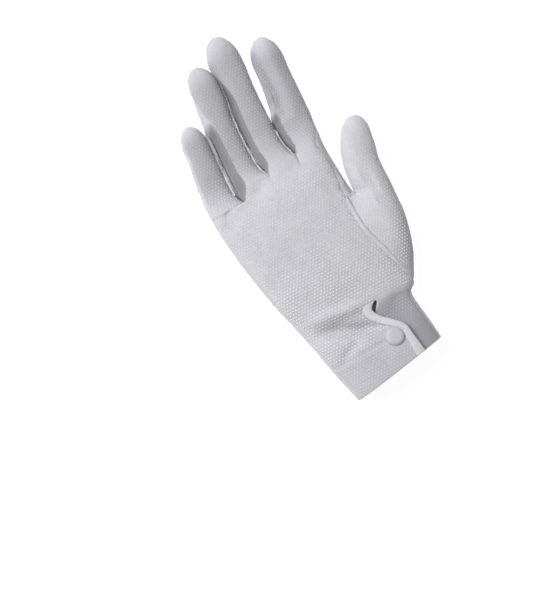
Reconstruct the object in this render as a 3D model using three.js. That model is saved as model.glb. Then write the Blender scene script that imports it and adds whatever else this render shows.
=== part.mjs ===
// A right-hand parade glove lying on its back with the palm up, in millimetres.
// +Y runs from the cuff to the fingertips, +X is the thumb side, +Z is the palm side.
import * as THREE from 'three';

// Driving sizes of the hand.
const palmWidth = 88;
const palmLength = 155;
const palmDepth = 32;
const handSquareness = 2.6;

// Driving sizes of the fingers and the thumb.
const littleLength = 61.8;
const ringLength = 89.6;
const middleLength = 95.2;
const indexLength = 80.6;
const littleWidth = 18.5;
const ringWidth = 20;
const middleWidth = 20.5;
const indexWidth = 21;
const fingerFullness = 0.86;
const fingerSquareness = 2.3;
const crotchRise = 0.55;
const thumbLength = 47;
const thumbSpread = 28.6;
const thumbDepth = 29;

// Driving sizes of the cloth and of what is sewn to it.
const knitWall = 1.2;
const seamGap = 0.3;
const restPress = 1.4;
const slitDrop = 4.6;
const hemDepth = 21;
const hemWall = 0.9;
const bindingWidth = 3;
const bindingHeight = 1.5;
const lipWidth = 2.8;
const lipHeight = 1.1;
const pointWidth = 2.8;
const pointHeight = 1.2;
const pointGroove = 0.45;
const foldDepth = 2.4;

// Driving sizes of the press fastener.
const capDiameter = 13;
const capHeight = 2.4;
const socketDiameter = 11;
const socketHeight = 0.9;
const studDiameter = 9;
const studHeight = 0.7;

// A table's rows as objects with its columns' names.
function table(columns, rows) {
  return rows.map((row) => Object.fromEntries(columns.map((column, i) => [column, row[i]])));
}

// How far the edge of a piece of cloth stands back from a seam, as a share of seamGap.
const seamInset = 0.65;

// How finely each form is divided.
const archColumns = 4;
const sideColumns = 4;
const thumbRows = 7;
const roundSides = 24;

// Sections of the hand from the cuff to the finger bases. leftX and rightX are shares of palmWidth,
// leftY and rightY of palmLength, top and base of palmDepth. edge is the share of the section's
// width where the palm panel ends on the thumb side.
const handSections = table(['leftX', 'leftY', 'rightX', 'rightY', 'top', 'base', 'edge'], [
  [-0.222, -0.045, 0.540, 0.039, 1.12, 0.000, 0.972],
  [-0.293, 0.090, 0.523, 0.123, 1.10, 0.000, 0.972],
  [-0.333, 0.194, 0.500, 0.200, 1.03, 0.020, 0.972],
  [-0.370, 0.277, 0.498, 0.265, 0.96, 0.050, 0.975],
  [-0.409, 0.355, 0.555, 0.306, 0.97, 0.070, 0.980],
  [-0.460, 0.458, 0.545, 0.439, 1.00, 0.075, 0.935],
  [-0.509, 0.574, 0.517, 0.568, 1.00, 0.075, 0.889],
  [-0.545, 0.677, 0.494, 0.658, 0.98, 0.075, 0.890],
  [-0.572, 0.787, 0.448, 0.745, 0.94, 0.075, 0.932],
  [-0.591, 0.871, 0.419, 0.884, 0.85, 0.075, 0.945],
  [-0.594, 0.923, 0.410, 1.000, 0.70, 0.050, 0.949],
]);
const heelRow = 4;
const crotchRow = 8;
const lastRow = handSections.length - 1;
const palmWebRow = 8.7;
const backWebRow = 9.3;

// Points between the finger bases, from the little finger's outer side to the index finger's.
const knuckles = [
  { x: -0.594, y: 0.923 },
  { x: -0.3125, y: 0.919 },
  { x: -0.057, y: 0.987 },
  { x: 0.1875, y: 1.003 },
  { x: 0.410, y: 1.000 },
];

// Fingers from the little one to the index. lean is in degrees. The seams are shares of the half
// width, for the palm side and the back. Each body row gives the share of the length from the base,
// and the reach to the left and to the right as shares of the width.
const bodyColumns = ['at', 'left', 'right'];
const fingers = [
  {
    name: 'little', length: littleLength, width: littleWidth, lean: 1.76,
    palmLeft: -0.80, palmRight: 0.60, backLeft: -0.80, backRight: 0.62,
    body: table(bodyColumns, [
      [0.20, 0.685, 0.444], [0.36, 0.664, 0.433], [0.54, 0.601, 0.431], [0.72, 0.540, 0.429],
    ]),
  },
  {
    name: 'ring', length: ringLength, width: ringWidth, lean: -0.03,
    palmLeft: -0.28, palmRight: 0.70, backLeft: -0.72, backRight: 0.58,
    body: table(bodyColumns, [
      [0.10, 0.682, 0.348], [0.24, 0.682, 0.333], [0.39, 0.667, 0.328], [0.55, 0.646, 0.364],
      [0.68, 0.606, 0.444], [0.81, 0.530, 0.460],
    ]),
  },
  {
    name: 'middle', length: middleLength, width: middleWidth, lean: -1.9,
    palmLeft: -0.55, palmRight: 0.80, backLeft: -0.66, backRight: 0.60,
    body: table(bodyColumns, [
      [0.11, 0.663, 0.332], [0.26, 0.655, 0.364], [0.43, 0.595, 0.395], [0.60, 0.491, 0.445],
      [0.73, 0.480, 0.515], [0.83, 0.500, 0.520],
    ]),
  },
  {
    name: 'index', length: indexLength, width: indexWidth, lean: 1.92,
    palmLeft: -0.64, palmRight: 0.54, backLeft: -0.62, backRight: 0.80,
    body: table(bodyColumns, [
      [0.12, 0.600, 0.494], [0.27, 0.640, 0.527], [0.44, 0.581, 0.519], [0.62, 0.512, 0.516],
      [0.78, 0.495, 0.533],
    ]),
  },
];
const fingerRows = [0, 0.06, 0.13, 0.22, 0.34, 0.47, 0.60, 0.72, 0.82, 0.90, 0.955, 0.988, 1];
const fourchetteEnd = 9;
const lastFinger = fingers.length - 1;
const capShare = 0.78;
// Height of a finger along its length, as a share of its full height.
const fingerRise = table(['at', 'rise'], [
  [0, 1.00], [0.14, 0.97], [0.34, 0.97], [0.62, 1.03], [0.84, 1.10], [1, 1.10],
]);
const baseFade = 0.19;
const webFade = 0.22;

// Fans of the thumb from its seam to its tip. The points are shares of thumbSpread and thumbLength
// from the crotch, lift is the height of the fan's middle and rise its height, as shares of thumbDepth.
const thumbFans = table(['innerX', 'innerY', 'outerX', 'outerY', 'lift', 'rise'], [
  [0.010, 0.043, 0.636, -1.053, 0.52, 0.50],
  [0.021, 0.117, 0.832, -0.585, 0.53, 0.475],
  [0.031, 0.245, 0.860, -0.138, 0.56, 0.43],
  [0.066, 0.415, 0.871, 0.245, 0.60, 0.37],
  [0.182, 0.660, 0.965, 0.564, 0.63, 0.32],
  [0.388, 0.868, 0.997, 0.798, 0.64, 0.26],
  [0.573, 0.968, 0.888, 0.947, 0.64, 0.15],
  [0.720, 0.989, 0.720, 0.989, 0.64, 0],
]);
const thumbSquareness = 2.2;
const endAngle = 0.36;

// The wrist slit: shares of the section's width at its lapping and underlying edges, and how far the
// underlying side drops as a share of slitDrop. at is the row of handSections, in parts of a row.
const slitTop = 3.5;
const slitSections = table(['at', 'tab', 'under', 'drop'], [
  [0, 0.785, 0.44, 0.86],
  [1, 0.787, 0.46, 0.92],
  [1.5, 0.784, 0.50, 0.97],
  [2, 0.720, 0.54, 1.00],
  [2.5, 0.645, 0.60, 0.92],
  [3, 0.618, 0.645, 0.66],
  [slitTop, 0.656, 0.656, 0],
]);
const slitFinger = 2;

// Folds are pressed in where the share of the half height is past foldStart, fully from foldFull.
const foldStart = 0.5;
const foldFull = 0.9;

// Folds pressed into the palm side: the ends of each as shares of palmWidth and palmLength, the
// width as a share of palmLength, and the depth as a share of foldDepth, below zero for a ridge.
const foldColumns = ['fromX', 'fromY', 'toX', 'toY', 'width', 'depth'];
const palmFolds = table(foldColumns, [
  [-0.20, 0.285, 0.14, 0.235, 0.030, 1.0],
  [-0.22, 0.330, 0.15, 0.315, 0.032, -0.75],
  [-0.27, 0.170, 0.06, 0.215, 0.026, 0.45],
  [-0.40, 0.830, -0.11, 0.935, 0.050, 0.55],
]);
const thumbFolds = table(foldColumns, [
  [0.50, 0.770, 0.60, 0.715, 0.045, 0.7],
]);

function mix(a, b, share) {
  return a + (b - a) * share;
}

function power(value, squareness) {
  return Math.sign(value) * Math.pow(Math.abs(value), 2 / squareness);
}

function smooth(share) {
  const t = Math.min(Math.max(share, 0), 1);
  return t * t * (3 - 2 * t);
}

// A smooth curve through four neighbours, which keeps a table's rows exactly.
function spline(a, b, c, d, t) {
  const slopeB = (c - a) / 2;
  const slopeC = (d - b) / 2;
  const t2 = t * t;
  const t3 = t2 * t;
  return (2 * t3 - 3 * t2 + 1) * b + (t3 - 2 * t2 + t) * slopeB
    + (3 * t2 - 2 * t3) * c + (t3 - t2) * slopeC;
}

// A row of a table at a place between its rows.
function rowAt(rows, place) {
  const last = rows.length - 1;
  const low = Math.min(Math.max(Math.floor(place), 0), last - 1);
  const [a, b, c, d] = [Math.max(low - 1, 0), low, low + 1, Math.min(low + 2, last)].map((i) => rows[i]);
  const between = (column) => [column, spline(a[column], b[column], c[column], d[column], place - low)];
  return Object.fromEntries(Object.keys(b).map(between));
}

// A row of a table whose column at says where each row lies.
function rowBetween(rows, place) {
  let low = 0;
  while (low < rows.length - 2 && place > rows[low + 1].at) {
    low += 1;
  }
  const [a, b] = [rows[low], rows[low + 1]];
  const share = Math.min(Math.max((place - a.at) / (b.at - a.at), 0), 1);
  return Object.fromEntries(Object.keys(a).map((column) => [column, mix(a[column], b[column], share)]));
}

function handRow(place) {
  const row = rowAt(handSections, place);
  const base = Math.max(row.base, 0) * palmDepth;
  const half = (row.top * palmDepth - base + restPress) / 2;
  return {
    left: { x: row.leftX * palmWidth, y: row.leftY * palmLength },
    right: { x: row.rightX * palmWidth, y: row.rightY * palmLength },
    base,
    half,
    middle: row.top * palmDepth - half,
    edge: row.edge,
  };
}

// How a fold presses the surface at a point.
function foldAt(folds, x, y) {
  let press = 0;
  for (const { fromX, fromY, toX, toY, width, depth } of folds) {
    const ax = fromX * palmWidth;
    const ay = fromY * palmLength;
    const dx = toX * palmWidth - ax;
    const dy = toY * palmLength - ay;
    const along = ((x - ax) * dx + (y - ay) * dy) / (dx * dx + dy * dy);
    const near = Math.min(Math.max(along, 0), 1);
    const away = Math.hypot(x - ax - dx * near, y - ay - dy * near) / (width * palmLength);
    press += depth * foldDepth * Math.exp(-away * away) * (1 - Math.min(Math.abs(along - 0.5), 1) ** 3);
  }
  return press;
}

function slitAt(place) {
  const slit = rowBetween(slitSections, place);
  return { ...slit, drop: slit.drop * slitDrop };
}

// A point of the hand: across is the share of the width, height the signed share of the half depth.
function handPoint(place, across, height, palmSide, beyond) {
  const row = handRow(place);
  const x = mix(row.left.x, row.right.x, across);
  const y = mix(row.left.y, row.right.y, across);
  let z = row.middle + row.half * height;
  if (palmSide) {
    z -= foldAt(palmFolds, x, y) * smooth((height - foldStart) / (foldFull - foldStart));
    if (beyond && place < slitTop) {
      const slit = slitAt(place);
      const reach = Math.min(Math.max((across - slit.under) / (row.edge - slit.under), 0), 1);
      z -= slit.drop * (1 - reach ** 3);
    }
  }
  return new THREE.Vector3(x, y, Math.max(z, row.base));
}

function arch(across) {
  const w = Math.min(Math.abs(2 * across - 1), 1);
  return Math.pow(1 - Math.pow(w, handSquareness), 1 / handSquareness);
}

// The columns of one finger's ring, from the palm side's left seam round by the right.
function seamAngles(finger, fade, outerLeft, outerRight) {
  const toAngle = (w) => Math.acos(Math.sign(w) * Math.pow(Math.abs(w), fingerSquareness / 2));
  const pull = (w, outer, end) => toAngle(outer ? w : mix(w, end, fade));
  return {
    palmLeft: pull(finger.palmLeft, outerLeft, -1),
    palmRight: pull(finger.palmRight, outerRight, 1),
    backLeft: pull(finger.backLeft, outerLeft, -1),
    backRight: pull(finger.backRight, outerRight, 1),
  };
}

// Sizes of a finger at a share of its length.
function fingerRow(finger, along) {
  const spot = rowBetween(finger.body, along);
  const capStart = 1 - capShare * finger.width / finger.length;
  const cap = Math.max((along - capStart) / (1 - capStart), 0);
  const close = Math.sqrt(Math.max(1 - cap * cap, 0));
  const middle = (spot.right - spot.left) / 2;
  const half = (spot.left + spot.right) / 2;
  const { rise } = rowBetween(fingerRise, along);
  const full = finger.width * fingerFullness * rise;
  return {
    left: (middle - half * close) * finger.width,
    right: (middle + half * close) * finger.width,
    half: full / 2 * close,
    middle: full / 2 - restPress / 2,
  };
}

// A point of a finger's ring, for a share of the length, a side of the ring and a share of that side.
function fingerPoint(index, along, side, share) {
  const finger = fingers[index];
  const outerLeft = index === 0;
  const outerRight = index === lastFinger;
  const fade = Math.max(1 - along / baseFade, 0) ** 2;
  const seams = seamAngles(finger, Math.max(1 - along / webFade, 0) ** 2.5, outerLeft, outerRight);
  const webLeft = outerLeft ? 0 : crotchRise * fade;
  const webRight = outerRight ? 0 : crotchRise * fade;
  let angle;
  let web;
  let hold;
  if (side === 'palm') {
    angle = mix(seams.palmLeft, seams.palmRight, share);
    web = mix(webLeft, webRight, share);
    hold = 1;
  } else if (side === 'right') {
    angle = mix(seams.palmRight, -seams.backRight, share);
    web = webRight;
    hold = 1 - 2 * share;
  } else if (side === 'back') {
    angle = -mix(seams.backRight, seams.backLeft, share);
    web = mix(webRight, webLeft, share);
    hold = -1;
  } else {
    angle = mix(2 * Math.PI - seams.backLeft, seams.palmLeft, share);
    web = webLeft;
    hold = 2 * share - 1;
  }
  const w = power(Math.cos(angle), fingerSquareness);
  const height = web * hold + (1 - web) * power(Math.sin(angle), fingerSquareness);
  const lean = THREE.MathUtils.degToRad(finger.lean);
  const from = knuckles[index];
  const to = knuckles[index + 1];
  const baseX = (from.x + to.x) / 2 * palmWidth;
  const baseY = (from.y + to.y) / 2 * palmLength;
  const place = (row, spot) => {
    const across = mix(row.left, row.right, (w + 1) / 2);
    return {
      x: baseX + Math.sin(lean) * finger.length * spot + Math.cos(lean) * across,
      y: baseY + Math.cos(lean) * finger.length * spot - Math.sin(lean) * across,
    };
  };
  const row = fingerRow(finger, along);
  const own = place(row, along);
  const start = place(fingerRow(finger, 0), 0);
  const x = own.x + (mix(from.x, to.x, (w + 1) / 2) * palmWidth - start.x) * fade;
  const y = own.y + (mix(from.y, to.y, (w + 1) / 2) * palmLength - start.y) * fade;
  const hand = handRow(lastRow);
  const z = mix(row.middle, hand.middle, fade) + mix(row.half, hand.half, fade) * height;
  return new THREE.Vector3(x, y, Math.max(z, 0));
}

// Shares of the hand's width at the points between the fingers.
const bases = knuckles.map((k) => (k.x - knuckles[0].x) / (knuckles[4].x - knuckles[0].x));
const slitShare = (bases[slitFinger] + bases[slitFinger + 1]) / 2;

// Share of the hand's width where a point of a finger's first ring lies.
function baseShare(index, side, share) {
  const w = fingerPoint(index, 0, side, share).x / palmWidth;
  const from = knuckles[index].x;
  const local = Math.min(Math.max((w - from) / (knuckles[index + 1].x - from), 0), 1);
  return mix(bases[index], bases[index + 1], local);
}

// Share of a section's width on either side of the slit.
function slitShift(place, share, edge, beyond) {
  if (place >= slitTop) {
    return share;
  }
  const slit = slitAt(place);
  if (beyond) {
    return mix(slit.under, edge, (share - slitShare) / (edge - slitShare));
  }
  return mix(leftRim, slit.tab, (share - leftRim) / (slitShare - leftRim));
}

// Where a column of the hand's ring lies in the section at a place.
function handSpot(place, index, side, share, beyond) {
  const { edge } = handRow(place);
  if (side === 'left' || side === 'right') {
    const width = side === 'left' ? 1 - 2 * leftRim : 2 * edge - 1;
    const start = Math.acos(Math.pow(width, handSquareness / 2));
    const turn = side === 'left' ? mix(-start, start, share) : mix(start, -start, share);
    const w = power(Math.cos(turn), handSquareness);
    const height = power(Math.sin(turn), handSquareness);
    return { across: side === 'left' ? (1 - w) / 2 : (1 + w) / 2, height };
  }
  let across = baseShare(index, side, share);
  if (index === lastFinger) {
    const rim = side === 'palm' ? palmRim : backRim;
    across = mix(bases[index], edge, (across - bases[index]) / (rim - bases[index]));
  }
  if (side === 'palm') {
    across = slitShift(place, across, edge, beyond);
  }
  return { across, height: (side === 'palm' ? 1 : -1) * arch(across) };
}

// A point of the hand's own ring, under the finger and side that it leads to.
function palmPoint(place, index, side, share, beyond) {
  const palmSide = side === 'palm';
  const here = handSpot(place, index, side, share, beyond);
  const point = handPoint(place, here.across, here.height, palmSide, beyond);
  const start = palmSide ? palmWebRow : backWebRow;
  const fade = smooth((place - start) / (lastRow - start));
  if (fade === 0) {
    return point;
  }
  const end = handSpot(lastRow, index, side, share, false);
  const finish = handPoint(lastRow, end.across, end.height, palmSide, false);
  const top = fingerPoint(index, 0, side, share);
  return point.add(top.sub(finish).multiplyScalar(fade));
}

// A surface made of named patches whose corners are shared.
class Surface {
  constructor() {
    this.points = [];
    this.keys = new Map();
    this.faces = [];
  }

  add(point) {
    const key = [point.x, point.y, point.z].map((v) => Math.round(v * 200)).join(' ');
    if (!this.keys.has(key)) {
      this.keys.set(key, this.points.length);
      this.points.push(point.clone());
    }
    return this.keys.get(key);
  }

  // A grid of points, rows along and columns across; piece names the node of each cell.
  grid(rows, piece) {
    const ids = rows.map((row) => row.map((point) => this.add(point)));
    for (let r = 0; r + 1 < ids.length; r += 1) {
      for (let c = 0; c + 1 < ids[r].length; c += 1) {
        const name = piece(r, c);
        const face = [ids[r][c], ids[r][c + 1], ids[r + 1][c + 1], ids[r + 1][c]];
        const corners = face.filter((id, i) => id !== face[(i + 1) % face.length]);
        if (name && corners.length > 2) {
          this.faces.push({ name, corners });
        }
      }
    }
  }

  // Smooth outward directions at the points, shared by every piece.
  normals() {
    const normals = this.points.map(() => new THREE.Vector3());
    for (const { corners } of this.faces) {
      const normal = areaVector(corners.map((id) => this.points[id]));
      corners.forEach((id) => normals[id].add(normal));
    }
    return normals.map((normal) => normal.normalize());
  }
}

function areaVector(points) {
  const sum = new THREE.Vector3();
  for (let i = 0; i < points.length; i += 1) {
    sum.add(new THREE.Vector3().crossVectors(points[i], points[(i + 1) % points.length]));
  }
  return sum.multiplyScalar(0.5);
}

// How far a corner of an edge may stand back, in insets.
const miterLimit = 3;

// Turns the cells of one piece into a closed wall whose edges stand back from its neighbours.
function wallOf(surface, normals, name, offset, wall, inset) {
  const faces = surface.faces.filter((face) => face.name === name).map((face) => face.corners);
  const edges = new Map();
  for (const face of faces) {
    face.forEach((id, i) => {
      const next = face[(i + 1) % face.length];
      const twin = `${next} ${id}`;
      if (edges.has(twin)) {
        edges.delete(twin);
      } else {
        edges.set(`${id} ${next}`, { from: id, to: next, face });
      }
    });
  }
  const shift = new Map();
  for (const { from, to, face } of edges.values()) {
    const along = surface.points[to].clone().sub(surface.points[from]).normalize();
    const facing = areaVector(face.map((id) => surface.points[id])).normalize();
    const inward = new THREE.Vector3().crossVectors(facing, along);
    for (const id of [from, to]) {
      shift.set(id, (shift.get(id) ?? new THREE.Vector3()).add(inward));
    }
  }
  const used = new Map();
  const outer = [];
  const inner = [];
  for (const id of faces.flat()) {
    if (!used.has(id)) {
      used.set(id, outer.length);
      const point = surface.points[id].clone();
      if (shift.has(id)) {
        const sum = shift.get(id);
        point.addScaledVector(sum, inset * Math.min(2 / sum.lengthSq(), miterLimit / sum.length()));
      }
      outer.push(point.clone().addScaledVector(normals[id], -offset));
      inner.push(point.clone().addScaledVector(normals[id], -offset - wall));
    }
  }
  const count = outer.length;
  const triangles = [];
  for (const face of faces) {
    const ids = face.map((id) => used.get(id));
    for (let i = 1; i + 1 < ids.length; i += 1) {
      triangles.push([ids[0], ids[i], ids[i + 1]]);
      triangles.push([count + ids[0], count + ids[i + 1], count + ids[i]]);
    }
  }
  for (const { from, to } of edges.values()) {
    const a = used.get(from);
    const b = used.get(to);
    triangles.push([b, a, count + a], [b, count + a, count + b]);
  }
  return bodyOf([...outer, ...inner], triangles);
}

function bodyOf(points, triangles) {
  const geometry = new THREE.BufferGeometry();
  geometry.setAttribute('position', new THREE.Float32BufferAttribute(points.flatMap((p) => p.toArray()), 3));
  geometry.setIndex(triangles.flat());
  geometry.computeVertexNormals();
  return geometry;
}

// A bar along a track of points with their outward directions. The profile is a loop of
// [across, out] sizes, in order round the bar.
function barAlong(track, profile) {
  const points = [];
  const triangles = [];
  const sides = profile.length;
  track.forEach(({ point, out }, i) => {
    const before = track[Math.max(i - 1, 0)].point;
    const after = track[Math.min(i + 1, track.length - 1)].point;
    const along = after.clone().sub(before).normalize();
    const across = new THREE.Vector3().crossVectors(along, out).normalize();
    for (const [w, h] of profile) {
      points.push(point.clone().addScaledVector(across, w).addScaledVector(out, h));
    }
    if (i > 0) {
      for (let s = 0; s < sides; s += 1) {
        const n = (s + 1) % sides;
        const low = (i - 1) * sides;
        triangles.push([low + s, low + sides + s, low + sides + n], [low + s, low + sides + n, low + n]);
      }
    }
  });
  const end = (track.length - 1) * sides;
  for (let s = 1; s + 1 < sides; s += 1) {
    triangles.push([0, s, s + 1], [end, end + s + 1, end + s]);
  }
  return bodyOf(points, triangles);
}

// The rims of the flat arches, where the hand's sides begin.
const leftRim = baseShare(0, 'palm', 0);
const palmRim = baseShare(lastFinger, 'palm', 1);
const backRim = baseShare(lastFinger, 'back', 0);

function steps(count) {
  return Array.from({ length: count + 1 }, (_, i) => i / count);
}

// The hand's ring at a place: palm arches from left to right, the thumb side, back arches from
// right to left, the little finger's side. Columns that the slit splits come twice.
function handArches(place, side, indices, beyond) {
  const points = [];
  indices.forEach((index, i) => {
    for (const share of steps(archColumns).slice(i > 0 ? 1 : 0)) {
      points.push(palmPoint(place, index, side, share, beyond));
    }
  });
  return points;
}

function handSide(place, side) {
  const index = side === 'left' ? 0 : lastFinger;
  return steps(sideColumns).map((share) => palmPoint(place, index, side, share, false));
}

// The thumb's seam as a loop: crotch side from back to palm, palm side down to the heel, heel side
// from palm to back, back side up to the crotch. turn is the angle that each point leads to.
function thumbSeam() {
  const loop = [];
  const up = steps(thumbRows);
  const push = (points, from, to) => points.slice(0, -1).forEach((point, i) => {
    loop.push({ point, turn: mix(from, to, i / (points.length - 1)) });
  });
  const palmEdge = (share) => palmPoint(mix(heelRow, crotchRow, share), lastFinger, 'palm', 1, true);
  const backEdge = (share) => palmPoint(mix(heelRow, crotchRow, share), lastFinger, 'back', 0, false);
  push(handSide(crotchRow, 'right').reverse(), -endAngle, endAngle);
  push(up.map((share) => palmEdge(1 - share)), endAngle, Math.PI - endAngle);
  push(handSide(heelRow, 'right'), Math.PI - endAngle, Math.PI + endAngle);
  push(up.map(backEdge), Math.PI + endAngle, 2 * Math.PI - endAngle);
  loop.push({ point: loop[0].point, turn: 2 * Math.PI - endAngle });
  return loop;
}

function fanPoint(fan, turn) {
  const row = thumbFans[fan];
  const crotch = handRow(crotchRow).right;
  const out = (1 - power(Math.cos(turn), thumbSquareness)) / 2;
  const x = crotch.x + mix(row.innerX, row.outerX, out) * thumbSpread;
  const y = crotch.y + mix(row.innerY, row.outerY, out) * thumbLength;
  let z = (row.lift + row.rise * power(Math.sin(turn), thumbSquareness)) * thumbDepth;
  if (Math.sin(turn) > 0) {
    z -= foldAt(thumbFolds, x, y);
  }
  return new THREE.Vector3(x, y, Math.max(z, 0));
}

// A point of the thumb: place 0 is the seam, each whole number after it a fan.
function thumbPoint(place, seam) {
  const last = thumbFans.length;
  const at = (i) => (i <= 0 ? seam.point : fanPoint(Math.min(i, last) - 1, seam.turn));
  const low = Math.min(Math.floor(place), last - 1);
  const [a, b, c, d] = [Math.max(low - 1, 0), low, low + 1, low + 2].map(at);
  const t = place - low;
  return new THREE.Vector3(
    spline(a.x, b.x, c.x, d.x, t),
    spline(a.y, b.y, c.y, d.y, t),
    spline(a.z, b.z, c.z, d.z, t),
  );
}

// Rows of the hand that are drawn, as places in handSections: the hem, the slit, the thumb, the web.
const slitSteps = 5;
const webSteps = 4;
const [cuffSection, nextSection] = handSections;
const firstRise = (nextSection.leftY - cuffSection.leftY + nextSection.rightY - cuffSection.rightY) / 2;
const hemPlace = hemDepth / (firstRise * palmLength);
const hemRow = 2;
const slitRow = hemRow + slitSteps;
const handRows = [
  ...steps(hemRow).map((share) => hemPlace * share),
  ...steps(slitSteps).slice(1).map((share) => mix(hemPlace, slitTop, share)),
  ...steps(thumbRows).map((share) => mix(heelRow, crotchRow, share)),
  ...steps(webSteps).slice(1).map((share) => mix(crotchRow, lastRow, share)),
];

const surface = new Surface();
const half = sideColumns / 2;
const gaps = ['ring_little', 'middle_ring', 'index_middle'].map((pair) => `fourchette_${pair}`);

// The palm side, in two parts where the slit divides it.
const order = fingers.map((_, i) => i);
const slitColumn = archColumns * (slitFinger + 0.5);
const palmRows = handRows.map((place) => handArches(place, 'palm', order, false));
const beyondRows = handRows.map((place) => handArches(place, 'palm', order, true));
surface.grid(palmRows.map((row) => row.slice(0, slitColumn + 1)), () => 'palm_panel');
surface.grid(beyondRows.map((row) => row.slice(slitColumn)), () => 'palm_panel');

// The sides and the back, with the thumb's opening left out.
const inThumb = (r) => handRows[r] >= heelRow && handRows[r] < crotchRow;
surface.grid(handRows.map((place) => handSide(place, 'right')), (r, c) => {
  if (inThumb(r)) {
    return null;
  }
  return handRows[r] < heelRow && c < half ? 'palm_panel' : 'back_panel';
});
const backRows = handRows.map((place) => handArches(place, 'back', order.slice().reverse(), false));
surface.grid(backRows, () => 'back_panel');
const leftPiece = (r, c) => (c < half ? 'back_panel' : 'palm_panel');
surface.grid(handRows.map((place) => handSide(place, 'left')), leftPiece);

// The fingers, with the strips between them ending short of the tips.
function sidePiece(index, side, row, column) {
  const palmHalf = side === 'right' ? column < half : column >= half;
  const gap = side === 'right' ? index : index - 1;
  if (row < fourchetteEnd && gap >= 0 && gap < gaps.length) {
    return gaps[gap];
  }
  if (index === lastFinger && side === 'right' && row < fourchetteEnd) {
    return 'back_panel';
  }
  return palmHalf ? 'palm_panel' : 'back_panel';
}

fingers.forEach((finger, index) => {
  const ring = (side, count) => fingerRows.map((along) => (
    steps(count).map((share) => fingerPoint(index, along, side, share))));
  surface.grid(ring('palm', archColumns), () => 'palm_panel');
  surface.grid(ring('back', archColumns), () => 'back_panel');
  surface.grid(ring('right', sideColumns), (r, c) => sidePiece(index, 'right', r, c));
  surface.grid(ring('left', sideColumns), (r, c) => sidePiece(index, 'left', r, c));
});

// The thumb, front and back.
const thumbLoop = thumbSeam();
const thumbPlaces = [0, 0.5, ...thumbFans.map((_, i) => i + 1)];
const frontTurn = (c) => thumbLoop[c].turn >= -1e-6 && thumbLoop[c].turn < Math.PI - 1e-6;
surface.grid(
  thumbPlaces.map((place) => thumbLoop.map((seam) => thumbPoint(place, seam))),
  (r, c) => (frontTurn(c) ? 'thumb_front' : 'thumb_back'),
);
const normals = surface.normals();

// The turned-in hem follows the cuff from the slit round the back to the underlying side. It ends
// short of the slit, at these places counted in fingers.
const hemPlaces = handRows.slice(0, hemRow + 1);
const hemFinger = 1.5;
const hemBeyondFinger = 3.5;
const hemPiece = () => 'hem_band';
const hemPalm = palmRows.slice(0, hemRow + 1).map((row) => row.slice(0, archColumns * hemFinger + 1));
const hemBeyond = beyondRows.slice(0, hemRow + 1).map((row) => row.slice(archColumns * hemBeyondFinger));
surface.grid(hemPalm, hemPiece);
surface.grid(hemBeyond, hemPiece);
surface.grid(backRows.slice(0, hemRow + 1), hemPiece);
surface.grid(hemPlaces.map((place) => handSide(place, 'right')), hemPiece);
surface.grid(hemPlaces.map((place) => handSide(place, 'left')), hemPiece);

// A station of a track on the surface: the point and its outward direction.
function station(point) {
  return { point: point.clone(), out: normals[surface.add(point)].clone() };
}

// A strip with a rounded top, sitting on the cloth.
function rolled(width, height, shift) {
  const profile = [[0.5, 0.3], [0.46, 0.65], [0.24, 1], [-0.24, 1], [-0.46, 0.65], [-0.5, 0.3], [0, 0.1]];
  return profile.map(([w, h]) => [w * width + shift, seamGap + h * height]);
}

const lipTrack = steps(thumbRows).map((share) => station(
  palmPoint(mix(crotchRow, heelRow, share), lastFinger, 'palm', 1, true),
));
const bindingTrack = palmRows.slice(0, slitRow).map((row) => station(row[slitColumn]));

// The raised points of the back, each a double ridge with a groove between.
const pointStart = 9.3;
const pointEnd = 5;
const pointShares = [
  { name: 'point_ring', gap: 1, end: 0.345 },
  { name: 'point_middle', gap: 2, end: 0.48 },
  { name: 'point_index', gap: 3, end: 0.616 },
];
const pointSteps = 14;

// How far from a point the cloth's own direction is taken, in rows and in shares of the width.
const probeReach = 0.02;

function backStation(place, across) {
  const spot = (p, a) => handPoint(p, a, -arch(a), false, false);
  const point = spot(place, across);
  const alongX = spot(place, across + probeReach).sub(spot(place, across - probeReach));
  const alongY = spot(place + probeReach, across).sub(spot(place - probeReach, across));
  return { point, out: alongY.cross(alongX).normalize() };
}

function pointBar(gap, end) {
  const track = steps(pointSteps).map((share) => (
    backStation(mix(pointStart, pointEnd, share), mix(bases[gap], end, share))));
  const groove = pointHeight - pointGroove;
  const profile = [[0.5, 0], [0.5, groove], [0.26, pointHeight], [0, groove], [-0.26, pointHeight],
    [-0.5, groove], [-0.5, 0]].map(([w, h]) => [w * pointWidth, seamGap + h]);
  return barAlong(track, profile);
}

// The press fastener, along the cloth's own direction at its place.
const snapPlace = 1.22;
const snapAcross = 0.65;
const flatAllowance = 0.25;

function snapPart(profile, beyond, lift) {
  const spot = (p, a) => handPoint(p, a, arch(a), true, beyond);
  const alongX = spot(snapPlace, snapAcross + probeReach).sub(spot(snapPlace, snapAcross - probeReach));
  const alongY = spot(snapPlace + probeReach, snapAcross).sub(spot(snapPlace - probeReach, snapAcross));
  const out = alongX.cross(alongY).normalize();
  const geometry = new THREE.LatheGeometry(profile.map(([r, h]) => new THREE.Vector2(r, h)), roundSides);
  geometry.applyQuaternion(new THREE.Quaternion().setFromUnitVectors(new THREE.Vector3(0, 1, 0), out));
  const place = spot(snapPlace, snapAcross).addScaledVector(out, lift);
  geometry.translate(place.x, place.y, place.z);
  return geometry;
}

function disc(diameter, height) {
  const r = diameter / 2;
  return [[0, 0], [r, 0], [r, height * 0.6], [r * 0.88, height], [0, height]];
}

function dome(diameter, height) {
  const r = diameter / 2;
  return [[0, 0], [r * 0.93, 0], [r, height * 0.25], [r * 0.97, height * 0.5], [r * 0.82, height * 0.8],
    [r * 0.5, height * 0.96], [0, height]];
}

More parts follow.
